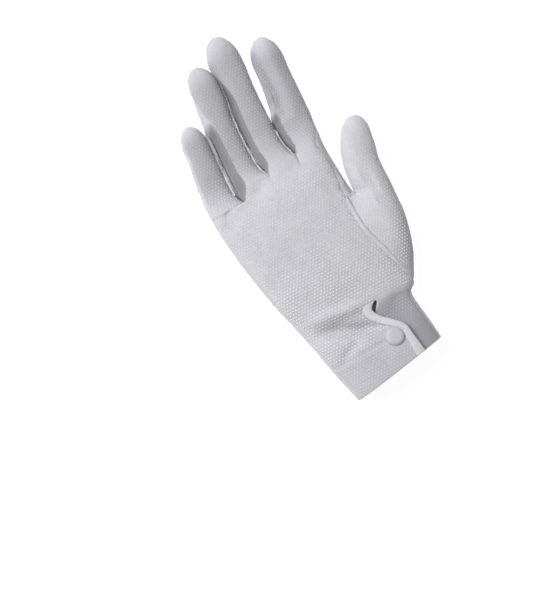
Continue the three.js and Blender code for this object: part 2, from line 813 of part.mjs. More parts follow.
// Finishes.
const gripKnit = { color: 0xd2d1d8, roughness: 0.92, metalness: 0 };
const plainKnit = { color: 0xd4d3da, roughness: 0.88, metalness: 0 };
const capFinish = { color: 0xd6d5db, roughness: 0.45, metalness: 0 };
const snapMetal = { color: 0xb9bbbf, roughness: 0.3, metalness: 1 };

const group = new THREE.Group();

function add(name, geometry, finish) {
  const mesh = new THREE.Mesh(geometry, new THREE.MeshStandardMaterial(finish));
  mesh.name = name;
  group.add(mesh);
}

function addWall(name, finish) {
  add(name, wallOf(surface, normals, name, 0, knitWall, seamGap * seamInset), finish);
}

addWall('palm_panel', gripKnit);
addWall('back_panel', plainKnit);
gaps.forEach((name) => addWall(name, plainKnit));
addWall('thumb_front', gripKnit);
addWall('thumb_back', plainKnit);
add('hem_band', wallOf(surface, normals, 'hem_band', knitWall + seamGap, hemWall, seamGap), plainKnit);
add('thumb_seam_lip', barAlong(lipTrack, rolled(lipWidth, lipHeight, 0)), plainKnit);
const bindingProfile = rolled(bindingWidth, bindingHeight, -bindingWidth / 2);
add('vent_binding', barAlong(bindingTrack, bindingProfile), plainKnit);
pointShares.forEach(({ name, gap, end }) => add(name, pointBar(gap, end), plainKnit));
add('snap_cap', snapPart(dome(capDiameter, capHeight), false, seamGap), capFinish);
const socketLift = -knitWall - seamGap - flatAllowance - socketHeight;
add('snap_socket', snapPart(disc(socketDiameter, socketHeight), false, socketLift), snapMetal);
add('snap_stud', snapPart(disc(studDiameter, studHeight), true, seamGap), snapMetal);

// The origin is at the middle of the bottom of the whole glove.
const box = new THREE.Box3().setFromObject(group);
group.position.set(-(box.min.x + box.max.x) / 2, -(box.min.y + box.max.y) / 2, -box.min.z);

export default group;
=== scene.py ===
import bpy
import math
from functools import lru_cache
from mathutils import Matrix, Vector, noise
from mathutils.kdtree import KDTree


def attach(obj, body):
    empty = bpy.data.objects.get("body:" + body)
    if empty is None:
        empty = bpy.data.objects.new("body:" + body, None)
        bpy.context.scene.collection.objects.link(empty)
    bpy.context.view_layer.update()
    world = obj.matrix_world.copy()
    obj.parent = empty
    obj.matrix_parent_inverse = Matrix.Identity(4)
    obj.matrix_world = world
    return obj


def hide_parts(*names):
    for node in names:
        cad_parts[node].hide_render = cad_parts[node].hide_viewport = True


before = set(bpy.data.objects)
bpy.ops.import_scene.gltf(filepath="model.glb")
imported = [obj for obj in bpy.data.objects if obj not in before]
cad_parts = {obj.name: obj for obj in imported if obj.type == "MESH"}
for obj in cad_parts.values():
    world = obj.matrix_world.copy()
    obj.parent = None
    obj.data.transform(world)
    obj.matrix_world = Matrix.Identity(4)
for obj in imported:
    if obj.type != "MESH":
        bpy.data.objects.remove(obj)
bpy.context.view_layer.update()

# The camera looks straight down, turned as in the photo, where a pixel is 0.655 mm of the palm.
camera = {
    "pixel": 0.000655,
    "imageHeight": 600,
    "turn": -27,
    "aim": (-0.0495, -0.0430, 0.022),
    "distance": 1.7,
    "sensor": 24,
    "near": 0.01,
    "far": 20,
}


# Puts new data in the scene as an object.
def placed(name, data):
    made = bpy.data.objects.new(name, data)
    bpy.context.scene.collection.objects.link(made)
    return made


def makeCamera():
    data = bpy.data.cameras.new("photoCamera")
    holder = placed("photoCamera", data)
    holder.location = Vector(camera["aim"]) + Vector((0, 0, camera["distance"]))
    holder.rotation_euler = (0, 0, math.radians(camera["turn"]))
    data.sensor_fit = "VERTICAL"
    data.sensor_height = camera["sensor"]
    data.lens = camera["sensor"] * camera["distance"] / (camera["imageHeight"] * camera["pixel"])
    data.clip_start = camera["near"]
    data.clip_end = camera["far"]
    bpy.context.scene.camera = holder


makeCamera()
print("camera placed")


# A socket that can be used in plain expressions.
class Wire:
    def __init__(self, maker, socket):
        self.maker = maker
        self.socket = socket

    def __add__(self, other):
        return self.maker.maths("ADD", self, other)

    def __radd__(self, other):
        return self.maker.maths("ADD", other, self)

    def __sub__(self, other):
        return self.maker.maths("SUBTRACT", self, other)

    def __rsub__(self, other):
        return self.maker.maths("SUBTRACT", other, self)

    def __mul__(self, other):
        return self.maker.maths("MULTIPLY", self, other)

    def __rmul__(self, other):
        return self.maker.maths("MULTIPLY", other, self)

    def __truediv__(self, other):
        return self.maker.maths("DIVIDE", self, other)

    def __rtruediv__(self, other):
        return self.maker.maths("DIVIDE", other, self)

    def __pow__(self, other):
        return self.maker.maths("POWER", self, other)

    def __mod__(self, other):
        return self.maker.maths("FLOORED_MODULO", self, other)

    def __abs__(self):
        return self.maker.maths("ABSOLUTE", self)


# Adds nodes to a tree: settings first, then values or links on the inputs.
class Maker:
    def __init__(self, tree):
        self.tree = tree

    def fill(self, node, inputs):
        for key, value in inputs.items():
            if isinstance(value, Wire):
                self.tree.links.new(value.socket, node.inputs[key])
            else:
                node.inputs[key].default_value = value

    def node(self, kind, settings=None, inputs=None):
        made = self.tree.nodes.new(kind)
        for key, value in (settings or {}).items():
            setattr(made, key, value)
        self.fill(made, inputs or {})
        return [Wire(self, socket) for socket in made.outputs]

    def maths(self, operation, *values):
        return self.node("ShaderNodeMath", {"operation": operation}, dict(enumerate(values)))[0]

    def vector(self, x, y, z=0):
        return self.node("ShaderNodeCombineXYZ", None, {0: x, 1: y, 2: z})[0]

    def parts(self, vector):
        return self.node("ShaderNodeSeparateXYZ", None, {0: vector})

    # Goes smoothly from 0 to 1 as a value passes from low to high.
    def step(self, value, low, high):
        inputs = {0: value, 1: low, 2: high, 3: 0, 4: 1}
        return self.node("ShaderNodeMapRange", {"interpolation_type": "SMOOTHSTEP"}, inputs)[0]

    def colour(self, share, low, high):
        low, high = (v if isinstance(v, Wire) else (*v, 1) for v in (low, high))
        return self.node("ShaderNodeMix", {"data_type": "RGBA"}, {0: share, 6: low, 7: high})[2]

    def spot(self):
        return self.node("ShaderNodeTexCoord")[3]

    def noise(self, size, detail):
        inputs = {"Vector": self.spot(), "Scale": size, "Detail": detail}
        return self.node("ShaderNodeTexNoise", None, inputs)[0]

    def bump(self, height):
        inputs = {"Strength": 1, "Distance": 1, "Height": height}
        return self.node("ShaderNodeBump", None, inputs)[0]


def newMaterial(name):
    material = bpy.data.materials.new(name)
    material.use_nodes = True
    maker = Maker(material.node_tree)
    shader = next(n for n in material.node_tree.nodes if n.type == "BSDF_PRINCIPLED")
    return material, maker, shader


# Knit cloth: fine loops in columns along the fingers, a soft nap and slight changes of tone. Each
# part is a share of the way from the low colour to the high one. Where the tone attribute says,
# the colour goes over to a painted shade.
knit = {
    "waleWidth": 0.00105,
    "courseHeight": 0.00078,
    "legSlant": 1.3,
    "loopDepth": 0.00016,
    "loopPart": 0.25,
    "napSize": 900,
    "napDepth": 0.00009,
    "toneSize": 90,
    "tonePart": 0.35,
    "fleckSize": 420,
    "fleckPart": 0.4,
    "low": 0.2,
    "high": 0.75,
    "roughness": 0.92,
    "gloss": 0.25,
    "sheen": 0.25,
    "sheenRoughness": 0.6,
}


def knitMaterial(name, low, high, shade):
    material, maker, shader = newMaterial(name)
    u, v, _ = maker.parts(maker.node("ShaderNodeUVMap", {"uv_map": "UVMap"})[0])
    leg = abs((u / knit["waleWidth"]) % 1.0 - 0.5)
    course = (v / knit["courseHeight"] + leg * knit["legSlant"]) % 1.0
    crest = 1 - (abs(course - 0.5) * 2) ** 2
    strand = 1 - (abs(leg - 0.25) * 4) ** 2
    loops = crest * strand
    height = loops * knit["loopDepth"] + maker.noise(knit["napSize"], 3) * knit["napDepth"]
    tone = maker.noise(knit["toneSize"], 4) * knit["tonePart"]
    fleck = maker.noise(knit["fleckSize"], 2) * knit["fleckPart"]
    share = maker.step(loops * knit["loopPart"] + tone + fleck, knit["low"], knit["high"])
    # Painted shade: the tone attribute takes the colour over to the shade colour where shade falls.
    paintedShade = maker.node("ShaderNodeAttribute", {"attribute_name": "tone"})[2]
    maker.fill(shader, {
        "Base Color": maker.colour(paintedShade, maker.colour(share, low, high), shade),
        "Normal": maker.bump(height),
        "Roughness": knit["roughness"], "Specular IOR Level": knit["gloss"],
        "Sheen Weight": knit["sheen"], "Sheen Roughness": knit["sheenRoughness"],
    })
    return material


# A plain finish, which may have a fine grain, or go over to another colour near the fingers. On the
# dots that colour is darker: a painted shade, like the one on the finger fronts.
farFrom, farTo = 0.02, 0.045  # in metres up from the middle of the glove


def plainMaterial(name, colour, roughness, metallic=0.0, grain=0.0, grainSize=600, far=None):
    material, maker, shader = newMaterial(name)
    inputs = {"Base Color": (*colour, 1), "Roughness": roughness, "Metallic": metallic}
    if far:
        # Painted shade near the fingers.
        share = maker.step(maker.parts(maker.spot())[1], farFrom, farTo)
        inputs["Base Color"] = maker.colour(share, colour, far)
    if grain:
        inputs["Normal"] = maker.bump(maker.noise(grainSize, 2) * grain)
    maker.fill(shader, inputs)
    return material


# The shade colours are painted shade, mixed into the knit by its tone attribute.
gripShade = (0.33, 0.326, 0.357)
gripKnit = knitMaterial("gripKnit", (0.49, 0.485, 0.525), (0.61, 0.605, 0.645), gripShade)
plainLow, plainHigh = (0.51, 0.505, 0.545), (0.63, 0.625, 0.665)
plainKnit = knitMaterial("plainKnit", plainLow, plainHigh, (0.19, 0.188, 0.205))
thumbKnit = knitMaterial("thumbKnit", plainLow, plainHigh, gripShade)
# The dots go darker near the fingers, a painted shade like that of the finger fronts.
dotRubber = plainMaterial("dotRubber", (0.665, 0.66, 0.695), 0.55, far=(0.54, 0.536, 0.565))
capEnamel = plainMaterial("capEnamel", (0.43, 0.426, 0.46), 0.5, grain=0.00001)
snapMetal = plainMaterial("snapMetal", (0.55, 0.55, 0.56), 0.28, metallic=1.0)
thread = plainMaterial("thread", (0.60, 0.59, 0.645), 0.8, grain=0.00005, grainSize=2500)
print("materials made")


# Sizes in metres and the tables of shares that give the glove's form. They are the CAD model's.
glove = {
    "origin": (-0.00782, -0.12129, 0),
    "palmWidth": 0.088,
    "palmLength": 0.155,
    "palmDepth": 0.032,
    "handSquareness": 2.6,
    "fingerFullness": 0.86,
    "fingerSquareness": 2.3,
    "crotchRise": 0.62,
    "thumbLength": 0.047,
    "thumbSpread": 0.0286,
    "thumbDepth": 0.029,
    "thumbSquareness": 2.2,
    "knitWall": 0.0012,
    "seamGap": 0.0003,
    "restPress": 0.0014,
    "slitDrop": 0.0046,
    "hemDepth": 0.021,
    "hemWall": 0.0009,
    "foldDepth": 0.0024,
    "heelRow": 4,
    "crotchRow": 8,
    "palmWebRow": 9.55,
    "outerWebRow": 8.6,
    "backWebRow": 9.3,
    "slitTop": 3.75,
    "slitFinger": 2,
    "capShare": 0.78,
    "baseFade": 0.19,
    "webFade": 0.09,
    "indexEdge": 0.95,
    "indexFade": 0.15,
    "taper": 0.96,
    "taperFrom": 0.5,
    "endAngle": 0.36,
    "fourchetteEnd": 0.90,
}
palmWidth = glove["palmWidth"]
palmLength = glove["palmLength"]


def table(columns, rows):
    return [dict(zip(columns, row)) for row in rows]


handSections = table(("leftX", "leftY", "rightX", "rightY", "top", "base", "edge"), [
    (-0.222, -0.045, 0.540, 0.039, 1.12, 0.000, 0.972),
    (-0.293, 0.090, 0.523, 0.123, 1.10, 0.000, 0.972),
    (-0.333, 0.194, 0.500, 0.200, 1.03, 0.020, 0.972),
    (-0.370, 0.277, 0.498, 0.265, 0.96, 0.050, 0.975),
    (-0.409, 0.355, 0.555, 0.306, 0.97, 0.070, 0.980),
    (-0.460, 0.458, 0.545, 0.439, 1.00, 0.075, 0.935),
    (-0.509, 0.574, 0.517, 0.568, 1.00, 0.075, 0.889),
    (-0.545, 0.677, 0.494, 0.658, 0.98, 0.075, 0.890),
    (-0.572, 0.787, 0.448, 0.745, 0.94, 0.075, 0.932),
    (-0.591, 0.871, 0.419, 0.884, 0.85, 0.075, 0.972),
    (-0.594, 0.923, 0.410, 1.000, 0.70, 0.050, 0.949),
])
lastRow = len(handSections) - 1
knuckles = [(-0.594, 0.923), (-0.3125, 0.919), (-0.057, 0.987), (0.1875, 1.003), (0.410, 1.000)]
bodyColumns = ("at", "left", "right")
fingers = [
    {
        "length": 0.0618, "width": 0.0185, "lean": 1.76,
        "palmLeft": -0.80, "palmRight": 0.97, "backLeft": -0.80, "backRight": 0.62,
        "body": table(bodyColumns, [
            (0.20, 0.685, 0.444), (0.36, 0.664, 0.433), (0.54, 0.601, 0.431), (0.72, 0.540, 0.429),
        ]),
    },
    {
        "length": 0.0896, "width": 0.0200, "lean": -0.03,
        "palmLeft": -0.30, "palmRight": 0.97, "backLeft": -0.72, "backRight": 0.58,
        "body": table(bodyColumns, [
            (0.10, 0.682, 0.348), (0.24, 0.682, 0.333), (0.39, 0.667, 0.328), (0.55, 0.646, 0.364),
            (0.68, 0.606, 0.444), (0.81, 0.530, 0.460),
        ]),
    },
    {
        "length": 0.0952, "width": 0.0205, "lean": -1.9,
        "palmLeft": -0.55, "palmRight": 0.97, "backLeft": -0.66, "backRight": 0.60,
        "body": table(bodyColumns, [
            (0.11, 0.663, 0.332), (0.26, 0.655, 0.364), (0.43, 0.595, 0.395), (0.60, 0.491, 0.445),
            (0.73, 0.480, 0.515), (0.83, 0.500, 0.520),
        ]),
    },
    {
        "length": 0.0806, "width": 0.0210, "lean": 1.92,
        "palmLeft": -0.64, "palmRight": 0.54, "backLeft": -0.62, "backRight": 0.80,
        "body": table(bodyColumns, [
            (0.12, 0.600, 0.494), (0.27, 0.640, 0.527), (0.44, 0.581, 0.519), (0.62, 0.512, 0.516),
            (0.78, 0.495, 0.533),
        ]),
    },
]
lastFinger = len(fingers) - 1
fingerRise = table(("at", "rise"), [
    (0, 1.00), (0.14, 0.97), (0.34, 0.97), (0.62, 1.03), (0.84, 1.10), (1, 1.10),
])
thumbFans = table(("innerX", "innerY", "outerX", "outerY", "lift", "rise"), [
    (0.010, 0.043, 0.636, -1.053, 0.52, 0.50),
    (0.021, 0.117, 0.832, -0.585, 0.53, 0.475),
    (0.031, 0.245, 0.860, -0.138, 0.56, 0.43),
    (0.066, 0.415, 0.871, 0.245, 0.60, 0.37),
    (0.182, 0.660, 0.965, 0.564, 0.63, 0.32),
    (0.388, 0.868, 0.997, 0.798, 0.64, 0.26),
    (0.573, 0.968, 0.888, 0.947, 0.64, 0.15),
    (0.720, 0.989, 0.720, 0.989, 0.64, 0),
])
slitSections = table(("at", "tab", "under", "drop"), [
    (0, 0.785, 0.44, 0.86),
    (1, 0.787, 0.46, 0.92),
    (1.5, 0.784, 0.50, 0.95),
    (2, 0.720, 0.54, 0.84),
    (2.5, 0.645, 0.61, 0.58),
    (3, 0.612, 0.652, 0.28),
    (3.3, 0.618, 0.668, 0.13),
    (3.55, 0.634, 0.672, 0.04),
    (3.75, 0.656, 0.656, 0),
])
foldColumns = ("fromX", "fromY", "toX", "toY", "width", "depth")
palmFolds = table(foldColumns, [
    (-0.34, 0.300, 0.26, 0.172, 0.028, 1.95),
    (-0.34, 0.342, 0.24, 0.305, 0.030, -1.25),
    (0.22, 0.248, 0.60, 0.228, 0.052, 0.75),
    (-0.28, 0.110, 0.04, 0.205, 0.020, 0.60),
    (-0.40, 0.830, -0.11, 0.935, 0.050, 0.55),
])
thumbFolds = table(foldColumns, [
    (0.50, 0.770, 0.60, 0.715, 0.045, 0.7),
])


def mix(a, b, share):
    return a + (b - a) * share


def clamp(value, low=0.0, high=1.0):
    return min(max(value, low), high)


def power(value, squareness):
    return math.copysign(abs(value) ** (2 / squareness), value)


def smooth(share):
    t = clamp(share)
    return t * t * (3 - 2 * t)


def curve(b, c, slopeB, slopeC, t):
    t2, t3 = t * t, t * t * t
    return ((2 * t3 - 3 * t2 + 1) * b + (t3 - 2 * t2 + t) * slopeB
            + (3 * t2 - 2 * t3) * c + (t3 - t2) * slopeC)


# A table's values at a place between its rows, on smooth curves through them.
def rowAt(rows, place):
    last = len(rows) - 1
    low = int(clamp(math.floor(place), 0, last - 1))
    a, b, c, d = (rows[int(clamp(i, 0, last))] for i in range(low - 1, low + 3))
    t = place - low
    return {k: curve(b[k], c[k], (c[k] - a[k]) / 2, (d[k] - b[k]) / 2, t) for k in b}


# The same for a table whose column at says where each row lies, level at both ends.
def rowBetween(rows, place):
    low = 0
    while low < len(rows) - 2 and place > rows[low + 1]["at"]:
        low += 1
    b, c = rows[low], rows[low + 1]
    span = c["at"] - b["at"]
    t = clamp((place - b["at"]) / span)

    def slope(i, key):
        if i == 0 or i == len(rows) - 1:
            return 0
        before, after = rows[i - 1], rows[i + 1]
        return (after[key] - before[key]) / (after["at"] - before["at"]) * span

    return {k: curve(b[k], c[k], slope(low, k), slope(low + 1, k), t) for k in b if k != "at"}


@lru_cache(maxsize=None)
def handRow(place):
    row = rowAt(handSections, place)
    base = max(row["base"], 0) * glove["palmDepth"]
    half = (row["top"] * glove["palmDepth"] - base + glove["restPress"]) / 2
    return {
        "left": (row["leftX"] * palmWidth, row["leftY"] * palmLength),
        "right": (row["rightX"] * palmWidth, row["rightY"] * palmLength),
        "base": base,
        "half": half,
        "middle": row["top"] * glove["palmDepth"] - half,
        "edge": row["edge"],
    }


# How far along a line a spot lies, as a share of it, and how far from the line.
def besideLine(x, y, fromX, fromY, toX, toY):
    dx, dy = toX - fromX, toY - fromY
    along = ((x - fromX) * dx + (y - fromY) * dy) / (dx * dx + dy * dy)
    near = clamp(along)
    return along, math.hypot(x - fromX - dx * near, y - fromY - dy * near)


lineReach = 4  # in widths of a fold or crease, past which it is too faint to matter
foldFade = (0.5, 0.4)  # the height on the arch at which folds start, and over how much they grow
foldEnds, creaseEnds = (1.3, 2.5), (1.5, 1.6)


# A fold or crease is full along its middle and fades towards both ends.
def towardsEnds(along, ends):
    return smooth(ends[0] - abs(along - 0.5) * ends[1])


def foldAt(folds, x, y):
    press = 0
    for fold in folds:
        along, away = besideLine(x, y, fold["fromX"] * palmWidth, fold["fromY"] * palmLength,
                                 fold["toX"] * palmWidth, fold["toY"] * palmLength)
        away /= fold["width"] * palmLength
        if away < lineReach:
            depth = fold["depth"] * glove["foldDepth"]
            press += depth * math.exp(-away * away) * towardsEnds(along, foldEnds)
    return press


@lru_cache(maxsize=None)
def slitAt(place):
    return rowBetween(slitSections, place)


def handPoint(place, across, height, palmSide, beyond):
    row = handRow(place)
    x = mix(row["left"][0], row["right"][0], across)
    y = mix(row["left"][1], row["right"][1], across)
    z = row["middle"] + row["half"] * height
    if palmSide:
        z -= foldAt(palmFolds, x, y) * smooth((height - foldFade[0]) / foldFade[1])
        if beyond and place < glove["slitTop"]:
            slit = slitAt(place)
            reach = clamp((across - slit["under"]) / (row["edge"] - slit["under"]))
            z -= slit["drop"] * glove["slitDrop"] * (1 - reach ** 2)
    return Vector((x, y, max(z, row["base"])))


def arch(across):
    w = min(abs(2 * across - 1), 1)
    return (1 - w ** glove["handSquareness"]) ** (1 / glove["handSquareness"])


# The slots between the fingers: how far each finger's sides stay in a slot, as shares of its
# length, how steeply the cloth falls into it, and how far it goes over to a painted shade there.
slots = {
    "gap": 0.0002,
    "end": 0.04,
    "heightFade": 0.26,
    "wall": 0.2,
    "floor": 0.72,
    "level": 0.12,
    # how far the cloth in a slot goes over to a painted shade
    "shade": 0.8,
    "rightPower": 4,
    "left": [(0, 0.1), (0.46, 0.60), (0.74, 0.90), (0.30, 0.42)],
    "right": [(0.70, 0.92), (0.78, 0.95), (0.26, 0.38), (0, 0.1)],
}


# The seams beside a finger's strips: they draw together at the base and narrow towards the tip.
@lru_cache(maxsize=None)
def seamAngles(index, along):
    finger = fingers[index]
    fade = max(1 - along / glove["webFade"], 0) ** 2
    taper = smooth((along - glove["taperFrom"]) / (glove["fourchetteEnd"] - glove["taperFrom"]))
    taper *= glove["taper"]

    def pull(key, outer, end):
        w = finger[key] if outer else mix(finger[key], end, fade)
        if outer and key == "palmRight":
            w = mix(w, glove["indexEdge"], smooth(along / glove["indexFade"]))
        angle = math.acos(clamp(math.copysign(abs(w) ** (glove["fingerSquareness"] / 2), w), -1, 1))
        return angle if outer else mix(angle, math.acos(end), taper)

    outerLeft, outerRight = index == 0, index == lastFinger
    return {
        "palmLeft": pull("palmLeft", outerLeft, -1),
        "palmRight": pull("palmRight", outerRight, 1),
        "backLeft": pull("backLeft", outerLeft, -1),
        "backRight": pull("backRight", outerRight, 1),
    }


@lru_cache(maxsize=None)
def fingerRow(index, along):
    finger = fingers[index]
    spot = rowBetween(finger["body"], along)
    capStart = 1 - glove["capShare"] * finger["width"] / finger["length"]
    cap = max((along - capStart) / (1 - capStart), 0)
    close = math.sqrt(max(1 - cap * cap, 0))
    middle = (spot["right"] - spot["left"]) / 2
    half = (spot["left"] + spot["right"]) / 2
    full = finger["width"] * glove["fingerFullness"] * rowBetween(fingerRise, along)["rise"]
    return {
        "left": (middle - half * close) * finger["width"],
        "right": (middle + half * close) * finger["width"],
        "half": full / 2 * close,
        "middle": full / 2 - glove["restPress"] / 2,
    }


# Where a finger's cloth lies in plan, w being the share of the half width from its middle.
def fingerPlace(index, along, w):
    finger = fingers[index]
    fade = max(1 - along / glove["baseFade"], 0) ** 2
    lean = math.radians(finger["lean"])
    (fromX, fromY), (toX, toY) = knuckles[index], knuckles[index + 1]
    share = (w + 1) / 2

    def place(spot):
        row = fingerRow(index, spot)
        across = mix(row["left"], row["right"], share)
        reach = finger["length"] * spot
        return (
            (fromX + toX) / 2 * palmWidth + math.sin(lean) * reach + math.cos(lean) * across,
            (fromY + toY) / 2 * palmLength + math.cos(lean) * reach - math.sin(lean) * across,
        )

    own, start = place(along), place(0)
    x = own[0] + (mix(fromX, toX, share) * palmWidth - start[0]) * fade
    y = own[1] + (mix(fromY, toY, share) * palmLength - start[1]) * fade
    return x, y


def fadeOut(along, ends):
    return 1 - smooth((along - ends[0]) / (ends[1] - ends[0]))


# How far a finger's left side bulges out to touch the finger beside it.
@lru_cache(maxsize=None)
def bulgeAt(index, along):
    if index == 0:
        return 0
    x, y = fingerPlace(index, along, -1)
    near = clamp(along + (y - fingerPlace(index - 1, along, 1)[1]) / fingers[index - 1]["length"])
    gap = x - fingerPlace(index - 1, near, 1)[0] - slots["gap"]
    return max(gap, 0) * fadeOut(along, slots["left"][index])


def fingerPoint(index, along, side, share):
    fade = smooth(1 - along / slots["heightFade"])
    webFade = max(1 - along / glove["baseFade"], 0) ** 2
    seams = seamAngles(index, along)
    webLeft = 0 if index == 0 else glove["crotchRise"] * webFade
    webRight = 0 if index == lastFinger else glove["crotchRise"] * webFade
    if side == "palm":
        angle = mix(seams["palmLeft"], seams["palmRight"], share)
        web, hold = mix(webLeft, webRight, share), 1
    elif side == "right":
        angle = mix(seams["palmRight"], -seams["backRight"], share)
        web, hold = webRight, 1 - 2 * share
    elif side == "back":
        angle = -mix(seams["backRight"], seams["backLeft"], share)
        web, hold = mix(webRight, webLeft, share), -1
    else:
        angle = mix(2 * math.pi - seams["backLeft"], seams["palmLeft"], share)
        web, hold = webLeft, 2 * share - 1
    squareness = glove["fingerSquareness"]
    w = power(math.cos(angle), squareness)
    height = web * hold + (1 - web) * power(math.sin(angle), squareness)
    if 0 < hold < 1:
        left = side == "left"
        seam = seams["palmLeft" if left else "palmRight"]
        top = web + (1 - web) * power(math.sin(seam), squareness)
        if left:
            start = power(math.cos(seam), squareness)
            t = clamp((start - w) / max(start + 1, 0.001))
            fall = mix(1, slots["level"], smooth(t / slots["wall"]))
            steep = fall * (1 - smooth((t - slots["floor"]) / (1 - slots["floor"])))
        else:
            steep = 1 - (1 - hold) ** slots["rightPower"]
        inSlot = index > 0 if left else index < lastFinger
        ends = slots["left" if left else "right"][index]
        trough = fadeOut(along, ends) * smooth(along / slots["end"]) if inSlot else 0
        height = mix(height, top * steep, trough)
    x, y = fingerPlace(index, along, w)
    x -= bulgeAt(index, along) * max(-w, 0) ** 4
    row = fingerRow(index, along)
    hand = handRow(lastRow)
    z = mix(row["middle"], hand["middle"], fade) + mix(row["half"], hand["half"], fade) * height
    return Vector((x, y, max(z, 0)))


bases = [(x - knuckles[0][0]) / (knuckles[4][0] - knuckles[0][0]) for x, _ in knuckles]
slitShare = (bases[glove["slitFinger"]] + bases[glove["slitFinger"] + 1]) / 2


@lru_cache(maxsize=None)
def baseShare(index, side, share):
    w = fingerPoint(index, 0, side, share).x / palmWidth
    start = knuckles[index][0]
    local = clamp((w - start) / (knuckles[index + 1][0] - start))
    return mix(bases[index], bases[index + 1], local)


leftRim = baseShare(0, "palm", 0)
palmRim = baseShare(lastFinger, "palm", 1)
backRim = baseShare(lastFinger, "back", 0)


def slitShift(place, share, edge, beyond):
    if place >= glove["slitTop"]:
        return share
    slit = slitAt(place)
    if beyond:
        return mix(slit["under"], edge, (share - slitShare) / (edge - slitShare))
    return mix(leftRim, slit["tab"], (share - leftRim) / (slitShare - leftRim))


def handSpot(place, index, side, share, beyond):
    edge = handRow(place)["edge"]
    if side in ("left", "right"):
        width = 1 - 2 * leftRim if side == "left" else 2 * edge - 1
        start = math.acos(width ** (glove["handSquareness"] / 2))
        turn = mix(-start, start, share) if side == "left" else mix(start, -start, share)
        w = power(math.cos(turn), glove["handSquareness"])
        height = power(math.sin(turn), glove["handSquareness"])
        return ((1 - w) / 2 if side == "left" else (1 + w) / 2), height
    across = baseShare(index, side, share)
    if index == lastFinger:
        rim = palmRim if side == "palm" else backRim
        across = mix(bases[index], edge, (across - bases[index]) / (rim - bases[index]))
    if side == "palm":
        across = slitShift(place, across, edge, beyond)
    return across, (1 if side == "palm" else -1) * arch(across)


# Near its left and right rims the hand's cloth starts earlier to rise to the fingers: how wide these
# strips are, and over how much of it they go over into the palm, as shares of the hand's width.
rimBlend = {"left": 0.14, "leftReach": 0.08, "right": 0.20, "rightReach": 0.16}


def palmPoint(place, index, side, share, beyond=False):
    palmSide = side == "palm"
    across, height = handSpot(place, index, side, share, beyond)
    point = handPoint(place, across, height, palmSide, beyond)
    start = glove["backWebRow"]
    if palmSide:
        past = across - handRow(place)["edge"] + rimBlend["right"]
        outer = max(smooth((rimBlend["left"] - across) / rimBlend["leftReach"]),
                    smooth(past / rimBlend["rightReach"]))
        start = mix(glove["palmWebRow"], glove["outerWebRow"], outer)
    elif side != "back":
        start = mix(start, glove["outerWebRow"], share if side == "left" else 1 - share)
    fade = smooth((place - start) / (lastRow - start))
    if fade == 0:
        return point
    endAcross, endHeight = handSpot(lastRow, index, side, share, False)
    finish = handPoint(lastRow, endAcross, endHeight, palmSide, False)
    return point + (fingerPoint(index, 0, side, share) - finish) * fade


pointFineness = 200000  # corners that agree to 5 thousandths of a millimetre are one


# A surface of named patches whose corners are shared. Each corner of a face has its own place in
# the cloth, in metres along and across the knit.
class Surface:
    def __init__(self):
        self.points = []
        self.keys = {}
        self.faces = []
        # grip sizes the dots; tone is painted shade, how far the knit's colour goes to its shade
        # colour.
        self.values = {"grip": {}, "tone": {}}

    def add(self, point):
        key = tuple(round(v * pointFineness) for v in point)
        if key not in self.keys:
            self.keys[key] = len(self.points)
            self.points.append(point.copy())
        return self.keys[key]

    def grid(self, rows, spots, piece, grip=(), tone=()):
        ids = [[self.add(point) for point in row] for row in rows]
        for key, values in (("grip", grip), ("tone", tone)):
            for idRow, valueRow in zip(ids, values):
                self.values[key].update(zip(idRow, valueRow))
        for r in range(len(ids) - 1):
            for c in range(len(ids[r]) - 1):
                name = piece(r, c)
                if not name:
                    continue
                places = ((r, c), (r, c + 1), (r + 1, c + 1), (r + 1, c))
                corners, uvs = [], []
                for i, (a, b) in enumerate(places):
                    nextA, nextB = places[(i + 1) % 4]
                    if ids[a][b] != ids[nextA][nextB]:
                        corners.append(ids[a][b])
                        uvs.append(spots[a][b])
                if len(corners) > 2:
                    self.faces.append((name, corners, uvs))

    def normals(self):
        sums = [Vector() for _ in self.points]
        for _, corners, _ in self.faces:
            normal = areaVector([self.points[i] for i in corners])
            for i in corners:
                sums[i] += normal
        return [normal.normalized() for normal in sums]


def areaVector(points):
    total = Vector()
    for i, point in enumerate(points):
        total += point.cross(points[(i + 1) % len(points)])
    return total / 2


# How finely the cloth is divided, in columns and rows of about a millimetre.
mesh = {"arch": 22, "side": 22, "hem": 16, "slit": 30, "heel": 3, "thumb": 64, "web": 34,
        "finger": 96, "fan": 7}
halfSide = mesh["side"] // 2


def steps(count):
    return [i / count for i in range(count + 1)]


def handArches(place, side, indices, beyond=False):
    points = []
    for i, index in enumerate(indices):
        for share in steps(mesh["arch"])[1 if i else 0:]:
            points.append(palmPoint(place, index, side, share, beyond))
    return points


def handSide(place, side):
    index = 0 if side == "left" else lastFinger
    return [palmPoint(place, index, side, share) for share in steps(mesh["side"])]


# Places across the cloth: x at one column, and the way over the surface from there.
def acrossFrom(row, column, sign=1):
    us = [0.0] * len(row)
    us[column] = row[column].x
    for c in range(column + 1, len(row)):
        us[c] = us[c - 1] + sign * math.hypot(row[c].x - row[c - 1].x, row[c].z - row[c - 1].z)
    for c in range(column - 1, -1, -1):
        us[c] = us[c + 1] - sign * math.hypot(row[c].x - row[c + 1].x, row[c].z - row[c + 1].z)
    return us


def handSpots(rows, column, sign=1):
    return [[(u, p.y) for u, p in zip(acrossFrom(row, column, sign), row)] for row in rows]


